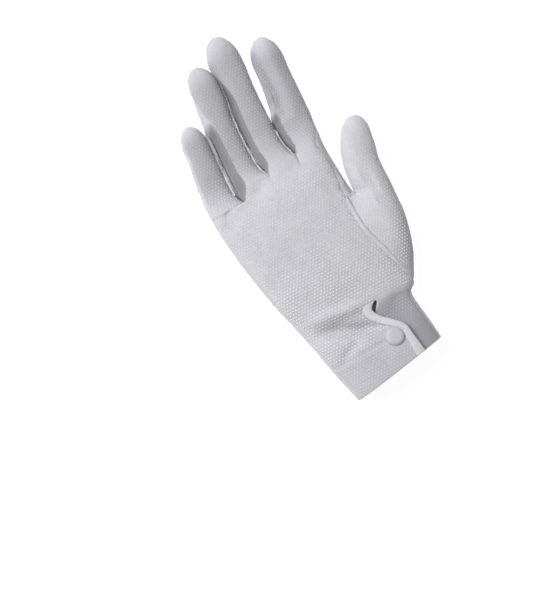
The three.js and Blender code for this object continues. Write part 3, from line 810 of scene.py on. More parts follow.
firstRise = (handSections[1]["leftY"] - handSections[0]["leftY"]
             + handSections[1]["rightY"] - handSections[0]["rightY"]) / 2
hemPlace = glove["hemDepth"] / (firstRise * palmLength)
handRows = [hemPlace * share for share in steps(mesh["hem"])]
handRows += [mix(hemPlace, glove["slitTop"], share) for share in steps(mesh["slit"])[1:]]
handRows += [mix(glove["slitTop"], glove["heelRow"], share) for share in steps(mesh["heel"])[1:-1]]
handRows += [mix(glove["heelRow"], glove["crotchRow"], share) for share in steps(mesh["thumb"])]
handRows += [mix(glove["crotchRow"], lastRow, share) for share in steps(mesh["web"])[1:]]

surface = Surface()
order = list(range(len(fingers)))
slitColumn = int(mesh["arch"] * (glove["slitFinger"] + 0.5))
middleColumn = mesh["arch"] * 2

# The palm side in two parts, divided by the slit, then the sides and the back.
palmRows = [handArches(place, "palm", order) for place in handRows]
beyondRows = [handArches(place, "palm", order, True) for place in handRows]
rightRows = [handSide(place, "right") for place in handRows]
leftRows = [handSide(place, "left") for place in handRows]
backRows = [handArches(place, "back", order[::-1]) for place in handRows]
palmSpots = handSpots(palmRows, middleColumn)
beyondPart = [row[slitColumn:] for row in beyondRows]
beyondSpots = handSpots(beyondPart, 0)
tabPart = [row[:slitColumn + 1] for row in palmRows]
tabSpots = [row[:slitColumn + 1] for row in palmSpots]


# How full the printed dots are, as shares of their size. They are fainter over the hem, past the
# slit, on the upper palm and on the thumb, and a little uneven. A pair is the change that rising or
# falling takes, in metres, in rows from the cuff, or in how far the cloth faces up.
grips = {
    "cuff": 0.6,
    "hemFade": (0.10, 0.15),
    "cuffFade": 0.25,
    "heel": 1.06,
    "palm": 0.74,
    "palmFade": (0.06, 0.05),
    "uneven": 0.22,
    "unevenSize": 0.006,
    "under": 0.46,
    "underFade": (0.014, 0.022),
    "finger": 0.84,
    "tipFade": (0.002, 0.016),
    "thumbLow": 0.9,
    "thumb": 0.7,
    "thumbFade": (0.08, 0.03),
    "thumbFrom": (0.050, 0.012),
    "thumbTo": (0.156, 0.02),
    "thumbFacing": (0.3, 0.35),
}


# Goes from 0 to 1: the change says where it starts, and over how much it goes.
def rising(value, change):
    return smooth((value - change[0]) / change[1])


# Goes from 1 to 0: the change says where it ends, and over how much it goes.
def falling(value, change):
    return smooth((change[0] - value) / change[1])


def handGrip(place, point, beyond):
    full = mix(grips["cuff"], 1, smooth((place - hemPlace) / grips["cuffFade"]))
    full *= rising(place, grips["hemFade"])
    uneven = grips["uneven"] * noise.noise(point / grips["unevenSize"])
    full *= mix(grips["heel"], grips["palm"], rising(point.y, grips["palmFade"])) + uneven
    if beyond and place < glove["heelRow"]:
        full *= grips["under"] * rising(point.y, grips["underFade"])
    return full


def handGrips(rows, beyond):
    return [[handGrip(place, p, beyond) for p in row] for place, row in zip(handRows, rows)]


# How far the knit goes over to a painted shade where shade falls: under the slit, towards the cuff,
# in the fold below the slit, on the heel, on the fronts of the fingers, in the slots beside them and
# on the thumb's outer side.
paintedShades = {
    "underFade": (0.052, 0.016),
    "tab": 0.34,
    "tabFade": (0.050, 0.03),
    "heel": 0.15,
    "heelAt": (0.058, 0.012),
    "fold": 0.5,
    "foldX": (0.004, 0.012),
    "foldY": (0.0362, 0.0042),
    "finger": 0.54,
    "fingerFrom": (0, 0.2),
    "fingerTo": (1, 0.22),
    "hollow": 0.9,
    "hollowFrom": (0.25, 0.25),
    "hollowTo": (0.97, 0.1),
    "hollowAcross": (0.42, 0.25),
    "strip": 0.5,
    "stripFrom": (0.3, 0.2),
    "stripTo": (0.95, 0.1),
    "stripAcross": (0.3, 0.25),
    "thumb": 0.16,
    "thumbFade": (0.10, 0.04),
    "outer": 0.42,
    "outerFacing": (0.35, 0.6),
    "outerFade": (0.16, 0.06),
}


# Two soft bells of painted shade, across the heel and in the fold below the slit: middle and spread.
def paintedShadeBells(p):
    heel = ((p.y - paintedShades["heelAt"][0]) / paintedShades["heelAt"][1]) ** 2
    foldX = ((p.x - paintedShades["foldX"][0]) / paintedShades["foldX"][1]) ** 2
    foldY = ((p.y - paintedShades["foldY"][0]) / paintedShades["foldY"][1]) ** 2
    return paintedShades["heel"] * math.exp(-heel) + paintedShades["fold"] * math.exp(-foldX - foldY)


# Painted shade: under the slit, and on the tab side darker towards the cuff and in the two bells.
underPaintedShade = [[falling(p.y, paintedShades["underFade"]) * smooth(glove["slitTop"] - place) for p in row]
             for place, row in zip(handRows, beyondPart)]
tabPaintedShade = [[paintedShades["tab"] * falling(p.y, paintedShades["tabFade"]) + paintedShadeBells(p) for p in row]
           for row in tabPart]
surface.grid(tabPart, tabSpots, lambda r, c: "palm_panel", handGrips(tabPart, False), tabPaintedShade)
surface.grid(beyondPart, beyondSpots, lambda r, c: "palm_panel",
             handGrips(beyondPart, True), underPaintedShade)


def rightPiece(r, c):
    if glove["heelRow"] <= handRows[r] < glove["crotchRow"]:
        return None
    return "palm_panel" if handRows[r] < glove["heelRow"] and c < halfSide else "back_panel"


def sideSpots(rows, starts, sign):
    spots = []
    for row, (u, _) in zip(rows, starts):
        shift = u - row[0].x
        spots.append([(value + shift, p.y) for value, p in zip(acrossFrom(row, 0, sign), row)])
    return spots


surface.grid(rightRows, sideSpots(rightRows, [row[-1] for row in beyondSpots], 1), rightPiece)
surface.grid(backRows, handSpots(backRows, middleColumn, -1), lambda r, c: "back_panel")
leftBack = [row[::-1] for row in leftRows]
leftSpots = [row[::-1] for row in sideSpots(leftBack, [row[0] for row in palmSpots], -1)]
surface.grid(leftRows, leftSpots, lambda r, c: "back_panel" if c < halfSide else "palm_panel")
print("hand surface made")

# The fingers, whose rows close up towards the tip.
tipCrowding = 1.35
spotFade = 0.25  # the share of a finger over which its knit goes over from the palm's own places
fingerAlongs = [1 - (1 - share) ** tipCrowding for share in steps(mesh["finger"])]
gapNames = ["fourchette_ring_little", "fourchette_middle_ring", "fourchette_index_middle"]


def sidePiece(index, side, row, column):
    palmHalf = column < halfSide if side == "right" else column >= halfSide
    gap = index if side == "right" else index - 1
    inside = fingerAlongs[row] < glove["fourchetteEnd"]
    if inside and 0 <= gap < len(gapNames):
        return gapNames[gap]
    if index == lastFinger and side == "right":
        return "back_panel"
    return "palm_panel" if palmHalf else "back_panel"


# Places in a finger's cloth: across from its middle line, and along each column from the base,
# where they may be the hand's own.
def fingerSpots(rows, column, sign=1, handUs=None):
    first = acrossFrom(rows[0], column, sign)
    vs = [p.y for p in rows[0]]
    spots = []
    for r, row in enumerate(rows):
        if r:
            vs = [v + math.hypot(p.y - q.y, p.z - q.z) for v, p, q in zip(vs, row, rows[r - 1])]
        us = acrossFrom(row, column, sign)
        if handUs:
            fade = max(1 - fingerAlongs[r] / spotFade, 0) ** 2
            us = [u + (handU - start) * fade for u, handU, start in zip(us, handUs, first)]
        spots.append(list(zip(us, vs)))
    return spots


# Places on a finger's side, which go on from the palm's at the seam between them.
def sideFrom(palmUv, column, rows, sign):
    spots = []
    for palmRow, row, side in zip(palmUv, rows, fingerSpots(rows, 0, sign)):
        shift = palmRow[column][0] - row[0].x
        spots.append([(u + shift, v) for u, v in side])
    return spots


# Painted shade on the fronts of the fingers, with a darker hollow along the index finger's left
# part.
def frontPaintedShade(index, along, share):
    tone = paintedShades["finger"] * rising(along, paintedShades["fingerFrom"]) * falling(along, paintedShades["fingerTo"])
    if index < lastFinger:
        return tone
    hollow = rising(along, paintedShades["hollowFrom"]) * falling(along, paintedShades["hollowTo"])
    return max(tone, paintedShades["hollow"] * hollow * falling(share, paintedShades["hollowAcross"]))


# Painted shade in the slot on a finger's left side, and along the index finger's left side.
def leftPaintedShade(index, along, share):
    tone = slots["shade"] * fadeOut(along, slots["left"][index]) if index else 0
    if index == lastFinger:
        strip = rising(along, paintedShades["stripFrom"]) * falling(along, paintedShades["stripTo"])
        tone = max(tone, paintedShades["strip"] * strip)
    return tone * rising(share, paintedShades["stripAcross"])


def overFinger(valueAt, count):
    return [[valueAt(along, share) for share in steps(count)] for along in fingerAlongs]


def addFinger(index):
    arches, sides = mesh["arch"], mesh["side"]
    length = fingers[index]["length"]
    palm, back, right, left = (
        overFinger(lambda along, share: fingerPoint(index, along, side, share), count)
        for side, count in (("palm", arches), ("back", arches), ("right", sides), ("left", sides)))
    handUs = [u for u, _ in palmSpots[-1][index * arches:(index + 1) * arches + 1]]
    palmUv = fingerSpots(palm, arches // 2, 1, handUs)
    full = overFinger(lambda along, share:
                      grips["finger"] * rising(length * (1 - along), grips["tipFade"]), arches)
    fronts = overFinger(lambda along, share: frontPaintedShade(index, along, share), arches)
    surface.grid(palm, palmUv, lambda r, c: "palm_panel", full, fronts)
    surface.grid(back, fingerSpots(back, arches // 2, -1), lambda r, c: "back_panel")
    surface.grid(right, sideFrom(palmUv, -1, right, 1),
                 lambda r, c: sidePiece(index, "right", r, c))
    leftUv = sideFrom(palmUv, 0, [row[::-1] for row in left], -1)
    shades = overFinger(lambda along, share: leftPaintedShade(index, along, share), sides)
    surface.grid(left, [row[::-1] for row in leftUv],
                 lambda r, c: sidePiece(index, "left", r, c), (), shades)


for index in order:
    addFinger(index)
print("finger surfaces made")


# The thumb: its seam as a loop with the angle that each point leads to, then fans to the tip.
def thumbSeam():
    loop = []
    up = steps(mesh["thumb"])
    end = glove["endAngle"]

    def push(points, start, finish):
        for i, point in enumerate(points[:-1]):
            loop.append((point, mix(start, finish, i / (len(points) - 1))))

    def edge(share, side, at):
        place = mix(glove["heelRow"], glove["crotchRow"], share)
        return palmPoint(place, lastFinger, side, at, side == "palm")

    push(handSide(glove["crotchRow"], "right")[::-1], -end, end)
    push([edge(1 - share, "palm", 1) for share in up], end, math.pi - end)
    push(handSide(glove["heelRow"], "right"), math.pi - end, math.pi + end)
    push([edge(share, "back", 0) for share in up], math.pi + end, 2 * math.pi - end)
    loop.append((loop[0][0], 2 * math.pi - end))
    return loop


def fanPoint(fan, turn):
    row = thumbFans[fan]
    crotchX, crotchY = handRow(glove["crotchRow"])["right"]
    out = (1 - power(math.cos(turn), glove["thumbSquareness"])) / 2
    x = crotchX + mix(row["innerX"], row["outerX"], out) * glove["thumbSpread"]
    y = crotchY + mix(row["innerY"], row["outerY"], out) * glove["thumbLength"]
    rise = row["rise"] * power(math.sin(turn), glove["thumbSquareness"])
    z = (row["lift"] + rise) * glove["thumbDepth"]
    if math.sin(turn) > 0:
        z -= foldAt(thumbFolds, x, y)
    return Vector((x, y, max(z, 0)))


def thumbPoint(place, seam, fans):
    last = len(thumbFans)
    low = min(int(place), last - 1)
    a, b, c, d = (seam if i <= 0 else fans[min(i, last) - 1] for i in range(low - 1, low + 3))
    return curve(b, c, (c - a) / 2, (d - b) / 2, place - low)


thumbLoop = thumbSeam()
loopFans = [[fanPoint(fan, turn) for fan in range(len(thumbFans))] for _, turn in thumbLoop]
thumbPlaces = [i / mesh["fan"] for i in range(len(thumbFans) * mesh["fan"] + 1)]
thumbRows = [[thumbPoint(place, point, fans) for (point, _), fans in zip(thumbLoop, loopFans)]
             for place in thumbPlaces]
frontTop = min(range(len(thumbLoop)), key=lambda c: abs(thumbLoop[c][1] - math.pi / 2))
backTop = min(range(len(thumbLoop)), key=lambda c: abs(thumbLoop[c][1] - 3 * math.pi / 2))


turnSlack = 1e-6  # how close two angles round the thumb count as one


def onFront(c, slack=turnSlack):
    return -turnSlack <= thumbLoop[c][1] <= math.pi + slack


def thumbSpot(row, c):
    turn = thumbLoop[c][1]
    top = row[frontTop if onFront(c) else backTop]
    away = math.hypot(row[c].x - top.x, row[c].z - top.z)
    return top.x + math.copysign(away, -math.cos(turn)), row[c].y


def thumbGrip(point, c):
    full = mix(grips["thumbLow"], grips["thumb"], rising(point.y, grips["thumbFade"]))
    full *= rising(math.sin(thumbLoop[c][1]), grips["thumbFacing"])
    return full * falling(point.y, grips["thumbTo"]) * rising(point.y, grips["thumbFrom"])


# Painted shade on the thumb's front: darker towards its base and along its outer side.
def thumbPaintedShade(point, c):
    if not onFront(c):
        return 0
    outer = rising(-math.cos(thumbLoop[c][1]), paintedShades["outerFacing"])
    outer *= falling(point.y, paintedShades["outerFade"])
    return paintedShades["thumb"] * falling(point.y, paintedShades["thumbFade"]) + paintedShades["outer"] * outer


surface.grid(thumbRows, [[thumbSpot(row, c) for c in range(len(row))] for row in thumbRows],
             lambda r, c: "thumb_front" if onFront(c, -2 * turnSlack) else "thumb_back",
             [[thumbGrip(p, c) for c, p in enumerate(row)] for row in thumbRows],
             [[thumbPaintedShade(p, c) for c, p in enumerate(row)] for row in thumbRows])
print("thumb surface made")

# Soft relief that the empty cloth takes, in metres in the glove's own frame: swells, ripples, seams
# that sink in and pucker, and creases, which are valleys with soft shoulders.
relief = {
    "swellSize": 0.017,
    "swellDepth": 0.00038,
    "rippleSize": 0.0065,
    "rippleDepth": 0.00011,
    "rippleShift": (7, 3, 1),
    "seamWidth": 0.0017,
    "seamDepth": 0.00030,
    "puckerPitch": 0.0034,
    "puckerReach": 6,
    "shoulder": 0.35,
    "shoulderAt": 1.9,
    "restZone": 0.0004,
}
creaseLines = table(("fromX", "fromY", "toX", "toY", "width", "depth"), [
    (0.0222, 0.184, 0.0238, 0.238, 0.0042, 0.0025),
    (-0.045, 0.132, -0.012, 0.147, 0.0036, 0.0005),
    (0.034, 0.122, 0.046, 0.114, 0.0030, 0.0007),
])
# The hem's own line, which stops short of the tab's edge.
hemLine = {"width": 0.0014, "depth": 0.0004, "short": 0.05}
hemLine["fromX"], hemLine["fromY"] = handRow(hemPlace)["left"]
hemRight = handRow(hemPlace)["right"]
tabEnd = slitAt(hemPlace)["tab"] - hemLine["short"]
hemLine["toX"] = mix(hemLine["fromX"], hemRight[0], tabEnd)
hemLine["toY"] = mix(hemLine["fromY"], hemRight[1], tabEnd)
creaseLines.append(hemLine)


def creaseAt(x, y):
    press = 0
    for line in creaseLines:
        along, away = besideLine(x, y, line["fromX"], line["fromY"], line["toX"], line["toY"])
        away /= line["width"]
        if away < lineReach:
            shoulder = relief["shoulder"] * math.exp(-(away - relief["shoulderAt"]) ** 2)
            valley = math.exp(-away * away) - shoulder
            press += line["depth"] * valley * towardsEnds(along, creaseEnds)
    return press


def seamTree():
    owners = {}
    for name, corners, _ in surface.faces:
        for i, a in enumerate(corners):
            key = tuple(sorted((a, corners[(i + 1) % len(corners)])))
            owners.setdefault(key, set()).add(name)
    ends = {i for key, names in owners.items() if len(names) > 1 for i in key}
    tree = KDTree(len(ends))
    for i in ends:
        tree.insert(surface.points[i], i)
    tree.balance()
    return tree


# Where a point of the drawn surface comes to lie, away being its distance from the nearest seam.
def settle(point, normal, away):
    swell = noise.noise(point / relief["swellSize"]) * relief["swellDepth"]
    shifted = point / relief["rippleSize"] + Vector(relief["rippleShift"])
    ripple = noise.noise(shifted) * relief["rippleDepth"]
    reach = (away / relief["seamWidth"]) ** 2
    near = math.exp(-reach)
    pucker = noise.noise(point / relief["puckerPitch"]) * math.exp(-reach / relief["puckerReach"])
    press = creaseAt(point.x, point.y) * smooth(normal.z * 2) if normal.z > 0 else 0
    settled = point + normal * (swell + ripple + relief["seamDepth"] * (pucker - near) - press)
    if point.z < relief["restZone"] or settled.z < 0:
        settled.z = max(point.z, 0)
    return settled


seams = seamTree()
surface.points = [settle(point, normal, seams.find(point)[2])
                  for point, normal in zip(surface.points, surface.normals())]
shared = surface.normals()
print("cloth relaxed:", len(surface.points), "points")


def makeObject(name, points, faces, uvs=None, values=None):
    data = bpy.data.meshes.new(name)
    origin = Vector(glove["origin"])
    data.from_pydata([point + origin for point in points], [], faces)
    if uvs:
        layer = data.uv_layers.new(name="UVMap")
        layer.data.foreach_set("uv", [value for face in uvs for uv in face for value in uv])
    for key, kept in (values or {}).items():
        layer = data.attributes.new(key, "FLOAT", "POINT")
        layer.data.foreach_set("value", kept)
    data.shade_smooth()
    data.update()
    return placed(name, data)


def finishPiece(piece, material, slotName, *nodes):
    piece.data.materials.clear()
    piece.data.materials.append(material)
    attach(piece, "root")
    if nodes:
        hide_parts(*nodes)


# The edges of each cloth piece, which are rounded and set back from its neighbours. The inner side
# has its places in the knit apart from the outer side's.
edgeRound = {"steps": 4, "bulge": 0.4, "inset": 0.00022, "limit": 2.5, "least": 1e-6}
innerShift = 1


# Turns faces of the surface into closed cloth.
def wallPiece(name, faces, offset, wall):
    edges = {}
    for _, corners, uvs in faces:
        for i, a in enumerate(corners):
            b = corners[(i + 1) % len(corners)]
            if edges.pop((b, a), None) is None:
                edges[(a, b)] = (corners, uvs[i], uvs[(i + 1) % len(corners)])
    inward = {}
    for (a, b), (corners, _, _) in edges.items():
        along = (surface.points[b] - surface.points[a]).normalized()
        side = areaVector([surface.points[i] for i in corners]).normalized().cross(along)
        for i in (a, b):
            inward[i] = inward.get(i, Vector()) + side
    used, outer, inner = {}, [], []
    for _, corners, _ in faces:
        for i in corners:
            if i in used:
                continue
            used[i] = len(outer)
            point = surface.points[i].copy()
            size = inward[i].length if i in inward else 0
            if size > edgeRound["least"]:
                point += inward[i] / size * edgeRound["inset"] * min(2 / size, edgeRound["limit"])
            outer.append(point - shared[i] * offset)
            inner.append(point - shared[i] * (offset + wall))
    count = len(outer)
    points = outer + inner
    values = {key: [kept.get(i, 0.0) for i in used] for key, kept in surface.values.items()}
    quads, places = [], []
    for _, corners, uvs in faces:
        ids = [used[i] for i in corners]
        quads.append(ids)
        places.append(uvs)
        quads.append([count + i for i in reversed(ids)])
        places.append([(u + innerShift, v) for u, v in reversed(uvs)])
    rim = {}
    bend = edgeRound["steps"]
    for i, direction in inward.items():
        start, end = points[used[i]], points[count + used[i]]
        out = -direction.normalized() * wall / 2 * edgeRound["bulge"]
        rim[i] = [used[i]]
        for k in range(1, bend):
            angle = math.pi * k / bend
            rim[i].append(len(points))
            points.append(mix(start, end, (1 - math.cos(angle)) / 2) + out * math.sin(angle))
        rim[i].append(count + used[i])
    for (a, b), (_, uvA, uvB) in edges.items():
        for k in range(bend):
            quads.append([rim[b][k], rim[a][k], rim[a][k + 1], rim[b][k + 1]])
            near, far = wall * k / bend, wall * (k + 1) / bend
            around = ((uvB, near), (uvA, near), (uvA, far), (uvB, far))
            places.append([(u, v + down) for (u, v), down in around])
    for kept in values.values():
        kept += [0.0] * (len(points) - count)
    return makeObject(name, points, quads, places, values)


def facesOf(node):
    return [face for face in surface.faces if face[0] == node]


clothPieces = table(("piece", "node", "material", "slot"), [
    ("palm_cloth", "palm_panel", gripKnit, "grip_knit"),
    ("back_cloth", "back_panel", plainKnit, "plain_knit"),
    ("gusset_index_middle", "fourchette_index_middle", plainKnit, "plain_knit"),
    ("gusset_middle_ring", "fourchette_middle_ring", plainKnit, "plain_knit"),
    ("gusset_ring_little", "fourchette_ring_little", plainKnit, "plain_knit"),
    ("thumb_front_cloth", "thumb_front", thumbKnit, "thumb_knit"),
    ("thumb_back_cloth", "thumb_back", plainKnit, "plain_knit"),
])
for row in clothPieces:
    piece = wallPiece(row["piece"], facesOf(row["node"]), 0, glove["knitWall"])
    finishPiece(piece, row["material"], row["slot"], row["node"])
print("cloth pieces made")

# The turned-in hem lies inside the cuff, all round but for a stretch on each side of the slit, which
# is counted in fingers from the palm's left rim.
hem = {"from": 1.5, "to": 3.5}
hemRows = mesh["hem"] + 1
hemFaces = len(surface.faces)
hemParts = [
    [row[:int(mesh["arch"] * hem["from"]) + 1] for row in palmRows[:hemRows]],
    [row[int(mesh["arch"] * hem["to"]):] for row in beyondRows[:hemRows]],
    backRows[:hemRows],
    rightRows[:hemRows],
    leftRows[:hemRows],
]
for part in hemParts:
    surface.grid(part, [[(p.x + p.z, p.y) for p in row] for row in part], lambda r, c: "hem_band")
hemPiece = wallPiece("hem_cloth", surface.faces[hemFaces:],
                     glove["knitWall"] + glove["seamGap"], glove["hemWall"])
finishPiece(hemPiece, plainKnit, "plain_knit", "hem_band")
print("hem made")


# A station of a track: a point of the cloth as it lies now, with its outward direction.
def station(point):
    i = surface.add(point)
    return surface.points[i], shared[i]


profileStep = 0.0005  # from one point of a profile to the next in the cloth's places


# Sweeps a profile, given for each share of the way, along a track of stations.
def sweep(name, track, profileAt):
    points, quads, places = [], [], []
    way = 0.0
    for i, (point, out) in enumerate(track):
        before, after = track[max(i - 1, 0)][0], track[min(i + 1, len(track) - 1)][0]
        across = (after - before).normalized().cross(out).normalized()
        profile = profileAt(i / (len(track) - 1))
        for w, h in profile:
            points.append(point + across * w + out * h)
        sides = len(profile)
        if i:
            step = (point - track[i - 1][0]).length
            for s in range(sides):
                n = (s + 1) % sides
                low = (i - 1) * sides
                quads.append([low + s, low + sides + s, low + sides + n, low + n])
                u, nextU = s * profileStep, (s + 1) * profileStep
                places.append([(u, way), (u, way + step), (nextU, way + step), (nextU, way)])
            way += step
    last = (len(track) - 1) * len(profile)
    quads.append(list(range(len(profile))))
    places.append([(0, 0)] * len(profile))
    quads.append(list(range(last + len(profile) - 1, last - 1, -1)))
    places.append([(0, 0)] * len(profile))
    return makeObject(name, points, quads, places)


# Points of a rounded section from +across over the top to -across, on a narrower foot.
sectionForm = {"count": 10, "footHalf": 0.3, "footDepth": 0.15}


def roundSection(width, height, lift, shift, squareness=2.4):
    section = []
    for k in range(sectionForm["count"] + 1):
        angle = math.pi * k / sectionForm["count"]
        section.append((power(math.cos(angle), squareness) * width / 2 + shift,
                        lift + power(math.sin(angle), squareness) * height))
    foot, depth = width * sectionForm["footHalf"], lift - height * sectionForm["footDepth"]
    return section + [(shift - foot, depth), (shift + foot, depth)]


# The thumb is joined under a rolled lip, from a flat step at the crotch to a thin crease at the
# heel.
lip = {"width": 0.0035, "height": 0.0016, "lift": -0.0004, "thinFrom": 0.62, "thinTo": 0.4,
       "thinWidth": 0.5, "start": 0.15, "startReach": 0.10}
heelIndex, crotchIndex = handRows.index(glove["heelRow"]), handRows.index(glove["crotchRow"])
lipTrack = [station(row[-1]) for row in beyondRows[heelIndex:crotchIndex + 1][::-1]]


def lipSection(share):
    thin = mix(1, lip["thinTo"], smooth((share - lip["thinFrom"]) / (1 - lip["thinFrom"])))
    full = smooth(share / lip["startReach"] + lip["start"])
    width = lip["width"] * mix(lip["thinWidth"], 1, thin) * full
    return roundSection(width, lip["height"] * thin, lip["lift"], 0)


finishPiece(sweep("thumb_lip", lipTrack, lipSection), plainKnit, "plain_knit", "thumb_seam_lip")

# The facing rolled over the slit's lapping edge.
binding = {"width": 0.0052, "topWidth": 0.0064, "endWidth": 0.0068, "endReach": 0.35,
           "height": 0.0017, "lift": -0.0006, "wrap": 0.0007, "tip": 0.25, "tipReach": 0.14,
           "squareness": 3.4}
slitIndex = handRows.index(glove["slitTop"])
bindingTrack = [station(row[slitColumn]) for row in palmRows[:slitIndex]]


def bindingSection(share):
    full = mix(binding["tip"], 1, smooth((1 - share) / binding["tipReach"]))
    width = mix(binding["width"], binding["topWidth"], smooth((share - 0.5) * 2))
    width = mix(binding["endWidth"], width, smooth(share / binding["endReach"])) * full
    shift = binding["wrap"] * full - width / 2
    return roundSection(width, binding["height"] * full, binding["lift"], shift,
                        binding["squareness"])


bindingPiece = sweep("slit_binding", bindingTrack, bindingSection)
finishPiece(bindingPiece, plainKnit, "plain_knit", "vent_binding")
print("lip and binding made")

# Raised points on the back: two ridges each, with a row of stitches in the groove between.
points = {"start": 9.3, "end": 5, "steps": 90, "width": 0.0028, "height": 0.0013, "reach": 0.02,
          "endBlunt": 0.2, "endReach": 0.03, "stitchLift": 0.45}
pointProfile = [(1.0, -0.15), (1.0, 0.35), (0.9, 0.75), (0.68, 0.98), (0.42, 0.95), (0.2, 0.62),
                (0.0, 0.45)]
pointProfile += [(-w, h) for w, h in pointProfile[-2::-1]]
pointRows = table(("piece", "node", "gap", "end"), [
    ("ridge_ring", "point_ring", 1, 0.345),
    ("ridge_middle", "point_middle", 2, 0.48),
    ("ridge_index", "point_index", 3, 0.616),
])


def clothStation(place, across, palmSide):
    reach = points["reach"]

    def spot(p, a):
        return handPoint(p, a, arch(a) if palmSide else -arch(a), palmSide, False)

    alongX = spot(place, across + reach) - spot(place, across - reach)
    alongY = spot(place + reach, across) - spot(place - reach, across)
    out = (alongX.cross(alongY) if palmSide else alongY.cross(alongX)).normalized()
    return settle(spot(place, across), out, 1), out


def pointSection(share):
    ends = smooth(min(share, 1 - share) / points["endReach"] + points["endBlunt"])
    half, height = points["width"] / 2, points["height"] * ends
    return [(w * half, h * height) for w, h in pointProfile]


seamTracks = []
for row in pointRows:
    track = []
    for share in steps(points["steps"]):
        across = mix(bases[row["gap"]], row["end"], share)
        track.append(clothStation(mix(points["start"], points["end"], share), across, False))
    finishPiece(sweep(row["piece"], track, pointSection), plainKnit, "plain_knit", row["node"])
    seamTracks.append((track, points["stitchLift"] * points["height"]))
print("points made")

# The press fastener: an enamelled cap, and under the flap its socket and stud.
snap = {"place": 1.22, "across": 0.65, "segments": 64, "pole": 0.00001,
        "capRadius": 0.0065, "capHeight": 0.0024, "socketRadius": 0.0055, "socketHeight": 0.0009,
        "studRadius": 0.0045, "studHeight": 0.0007}


def lathe(name, profile, centre, out):
    side = out.orthogonal().normalized()
    front = out.cross(side)
    count = snap["segments"]
    ring, quads = [], []
    for r, h in profile:
        for k in range(count):
            angle = 2 * math.pi * k / count
            away = (side * math.cos(angle) + front * math.sin(angle)) * max(r, snap["pole"])
            ring.append(centre + away + out * h)
    for i in range(len(profile) - 1):
        for k in range(count):
            n = (k + 1) % count
            quads.append([i * count + k, i * count + n, (i + 1) * count + n, (i + 1) * count + k])
    quads.append(list(range(count))[::-1])
    quads.append([(len(profile) - 1) * count + k for k in range(count)])
    return makeObject(name, ring, quads)


capProfile = [(0.0, 0.0), (0.93, 0.0), (0.985, 0.06), (1.0, 0.16), (0.99, 0.27), (0.955, 0.36),
              (0.93, 0.42), (0.91, 0.54), (0.86, 0.72), (0.79, 0.86), (0.68, 0.94), (0.5, 0.98),
              (0.25, 1.0), (0.0, 1.0)]
discProfile = [(0.0, 0.0), (0.95, 0.0), (1.0, 0.2), (1.0, 0.6), (0.95, 0.85), (0.85, 1.0),
               (0.7, 0.95), (0.6, 0.6), (0.45, 0.6), (0.4, 1.0), (0.3, 1.0), (0.0, 0.95)]
snapSpot, snapOut = clothStation(snap["place"], snap["across"], True)
underSpot = handPoint(snap["place"], snap["across"], arch(snap["across"]), True, True)
socketLift = -glove["knitWall"] - glove["seamGap"] - snap["socketHeight"]
studLift = glove["seamGap"]
snapRows = table(("piece", "node", "material", "slot", "profile", "part", "lift", "at"), [
    ("snap_cap_dome", "snap_cap", capEnamel, "snap_cap", capProfile, "cap", 0, snapSpot),
    ("snap_socket_ring", "snap_socket", snapMetal, "snap_metal", discProfile, "socket", socketLift,
     snapSpot),
    ("snap_stud_post", "snap_stud", snapMetal, "snap_metal", discProfile, "stud", studLift,
     underSpot),
])
for row in snapRows:
    radius, height = snap[row["part"] + "Radius"], snap[row["part"] + "Height"]
    profile = [(r * radius, row["lift"] + h * height) for r, h in row["profile"]]
    piece = lathe(row["piece"], profile, row["at"], snapOut)
    finishPiece(piece, row["material"], row["slot"], row["node"])
print("fastener made")


# Geometry Nodes: the tree is made here, its inputs are named, and the result becomes a plain mesh.
def newTree(name, sockets):
    tree = bpy.data.node_groups.new(name, "GeometryNodeTree")
    tree.interface.new_socket(name="Geometry", in_out="INPUT", socket_type="NodeSocketGeometry")
    tree.interface.new_socket(name="Geometry", in_out="OUTPUT", socket_type="NodeSocketGeometry")
    for key, kind in sockets.items():
        tree.interface.new_socket(name=key, in_out="INPUT", socket_type="NodeSocket" + kind)
    maker = Maker(tree)
    given = maker.node("NodeGroupInput")
    return tree, maker, {wire.socket.name: wire for wire in given}


def bake(carrier, tree, values, name):
    modifier = carrier.modifiers.new("make", "NODES")
    modifier.node_group = tree
    for item in tree.interface.items_tree:
        if item.in_out == "INPUT" and item.name in values:
            modifier[item.identifier] = values[item.name]
    bpy.context.view_layer.update()
    evaluated = carrier.evaluated_get(bpy.context.evaluated_depsgraph_get())
    data = bpy.data.meshes.new_from_object(evaluated)
    data.name = name
    bpy.data.objects.remove(carrier)
    return placed(name, data)


def attribute(maker, name, kind="FLOAT"):
    return maker.node("GeometryNodeInputNamedAttribute", {"data_type": kind}, {"Name": name})[0]


def store(maker, geometry, name, value, kind="FLOAT"):
    return maker.node("GeometryNodeStoreNamedAttribute", {"data_type": kind, "domain": "POINT"},
                      {"Geometry": geometry, "Name": name, "Value": value})[0]


# The turn that stands a small form upright on the cloth.
def upright(maker):
    return maker.node("FunctionNodeAlignRotationToVector", {"axis": "Z"},
                      {"Vector": attribute(maker, "out", "FLOAT_VECTOR")})[0]


def ball(maker, segments, rings):
    inputs = {"Segments": segments, "Rings": rings, "Radius": 1.0}
    return maker.node("GeometryNodeMeshUVSphere", None, inputs)[0]


# Ends a tree: a small form on each spot, made real, smoothed and given its material.
def endTree(maker, given, spots, form, turn, size):
    made = maker.node("GeometryNodeInstanceOnPoints", None,
                      {"Points": spots, "Instance": form, "Rotation": turn, "Scale": size})[0]
    made = maker.node("GeometryNodeRealizeInstances", None, {"Geometry": made})[0]
    made = maker.node("GeometryNodeSetShadeSmooth", None, {"Geometry": made})[0]
    made = maker.node("GeometryNodeSetMaterial", None,
                      {"Geometry": made, "Material": given["Finish"]})[0]
    maker.node("NodeGroupOutput", None, {"Geometry": made})


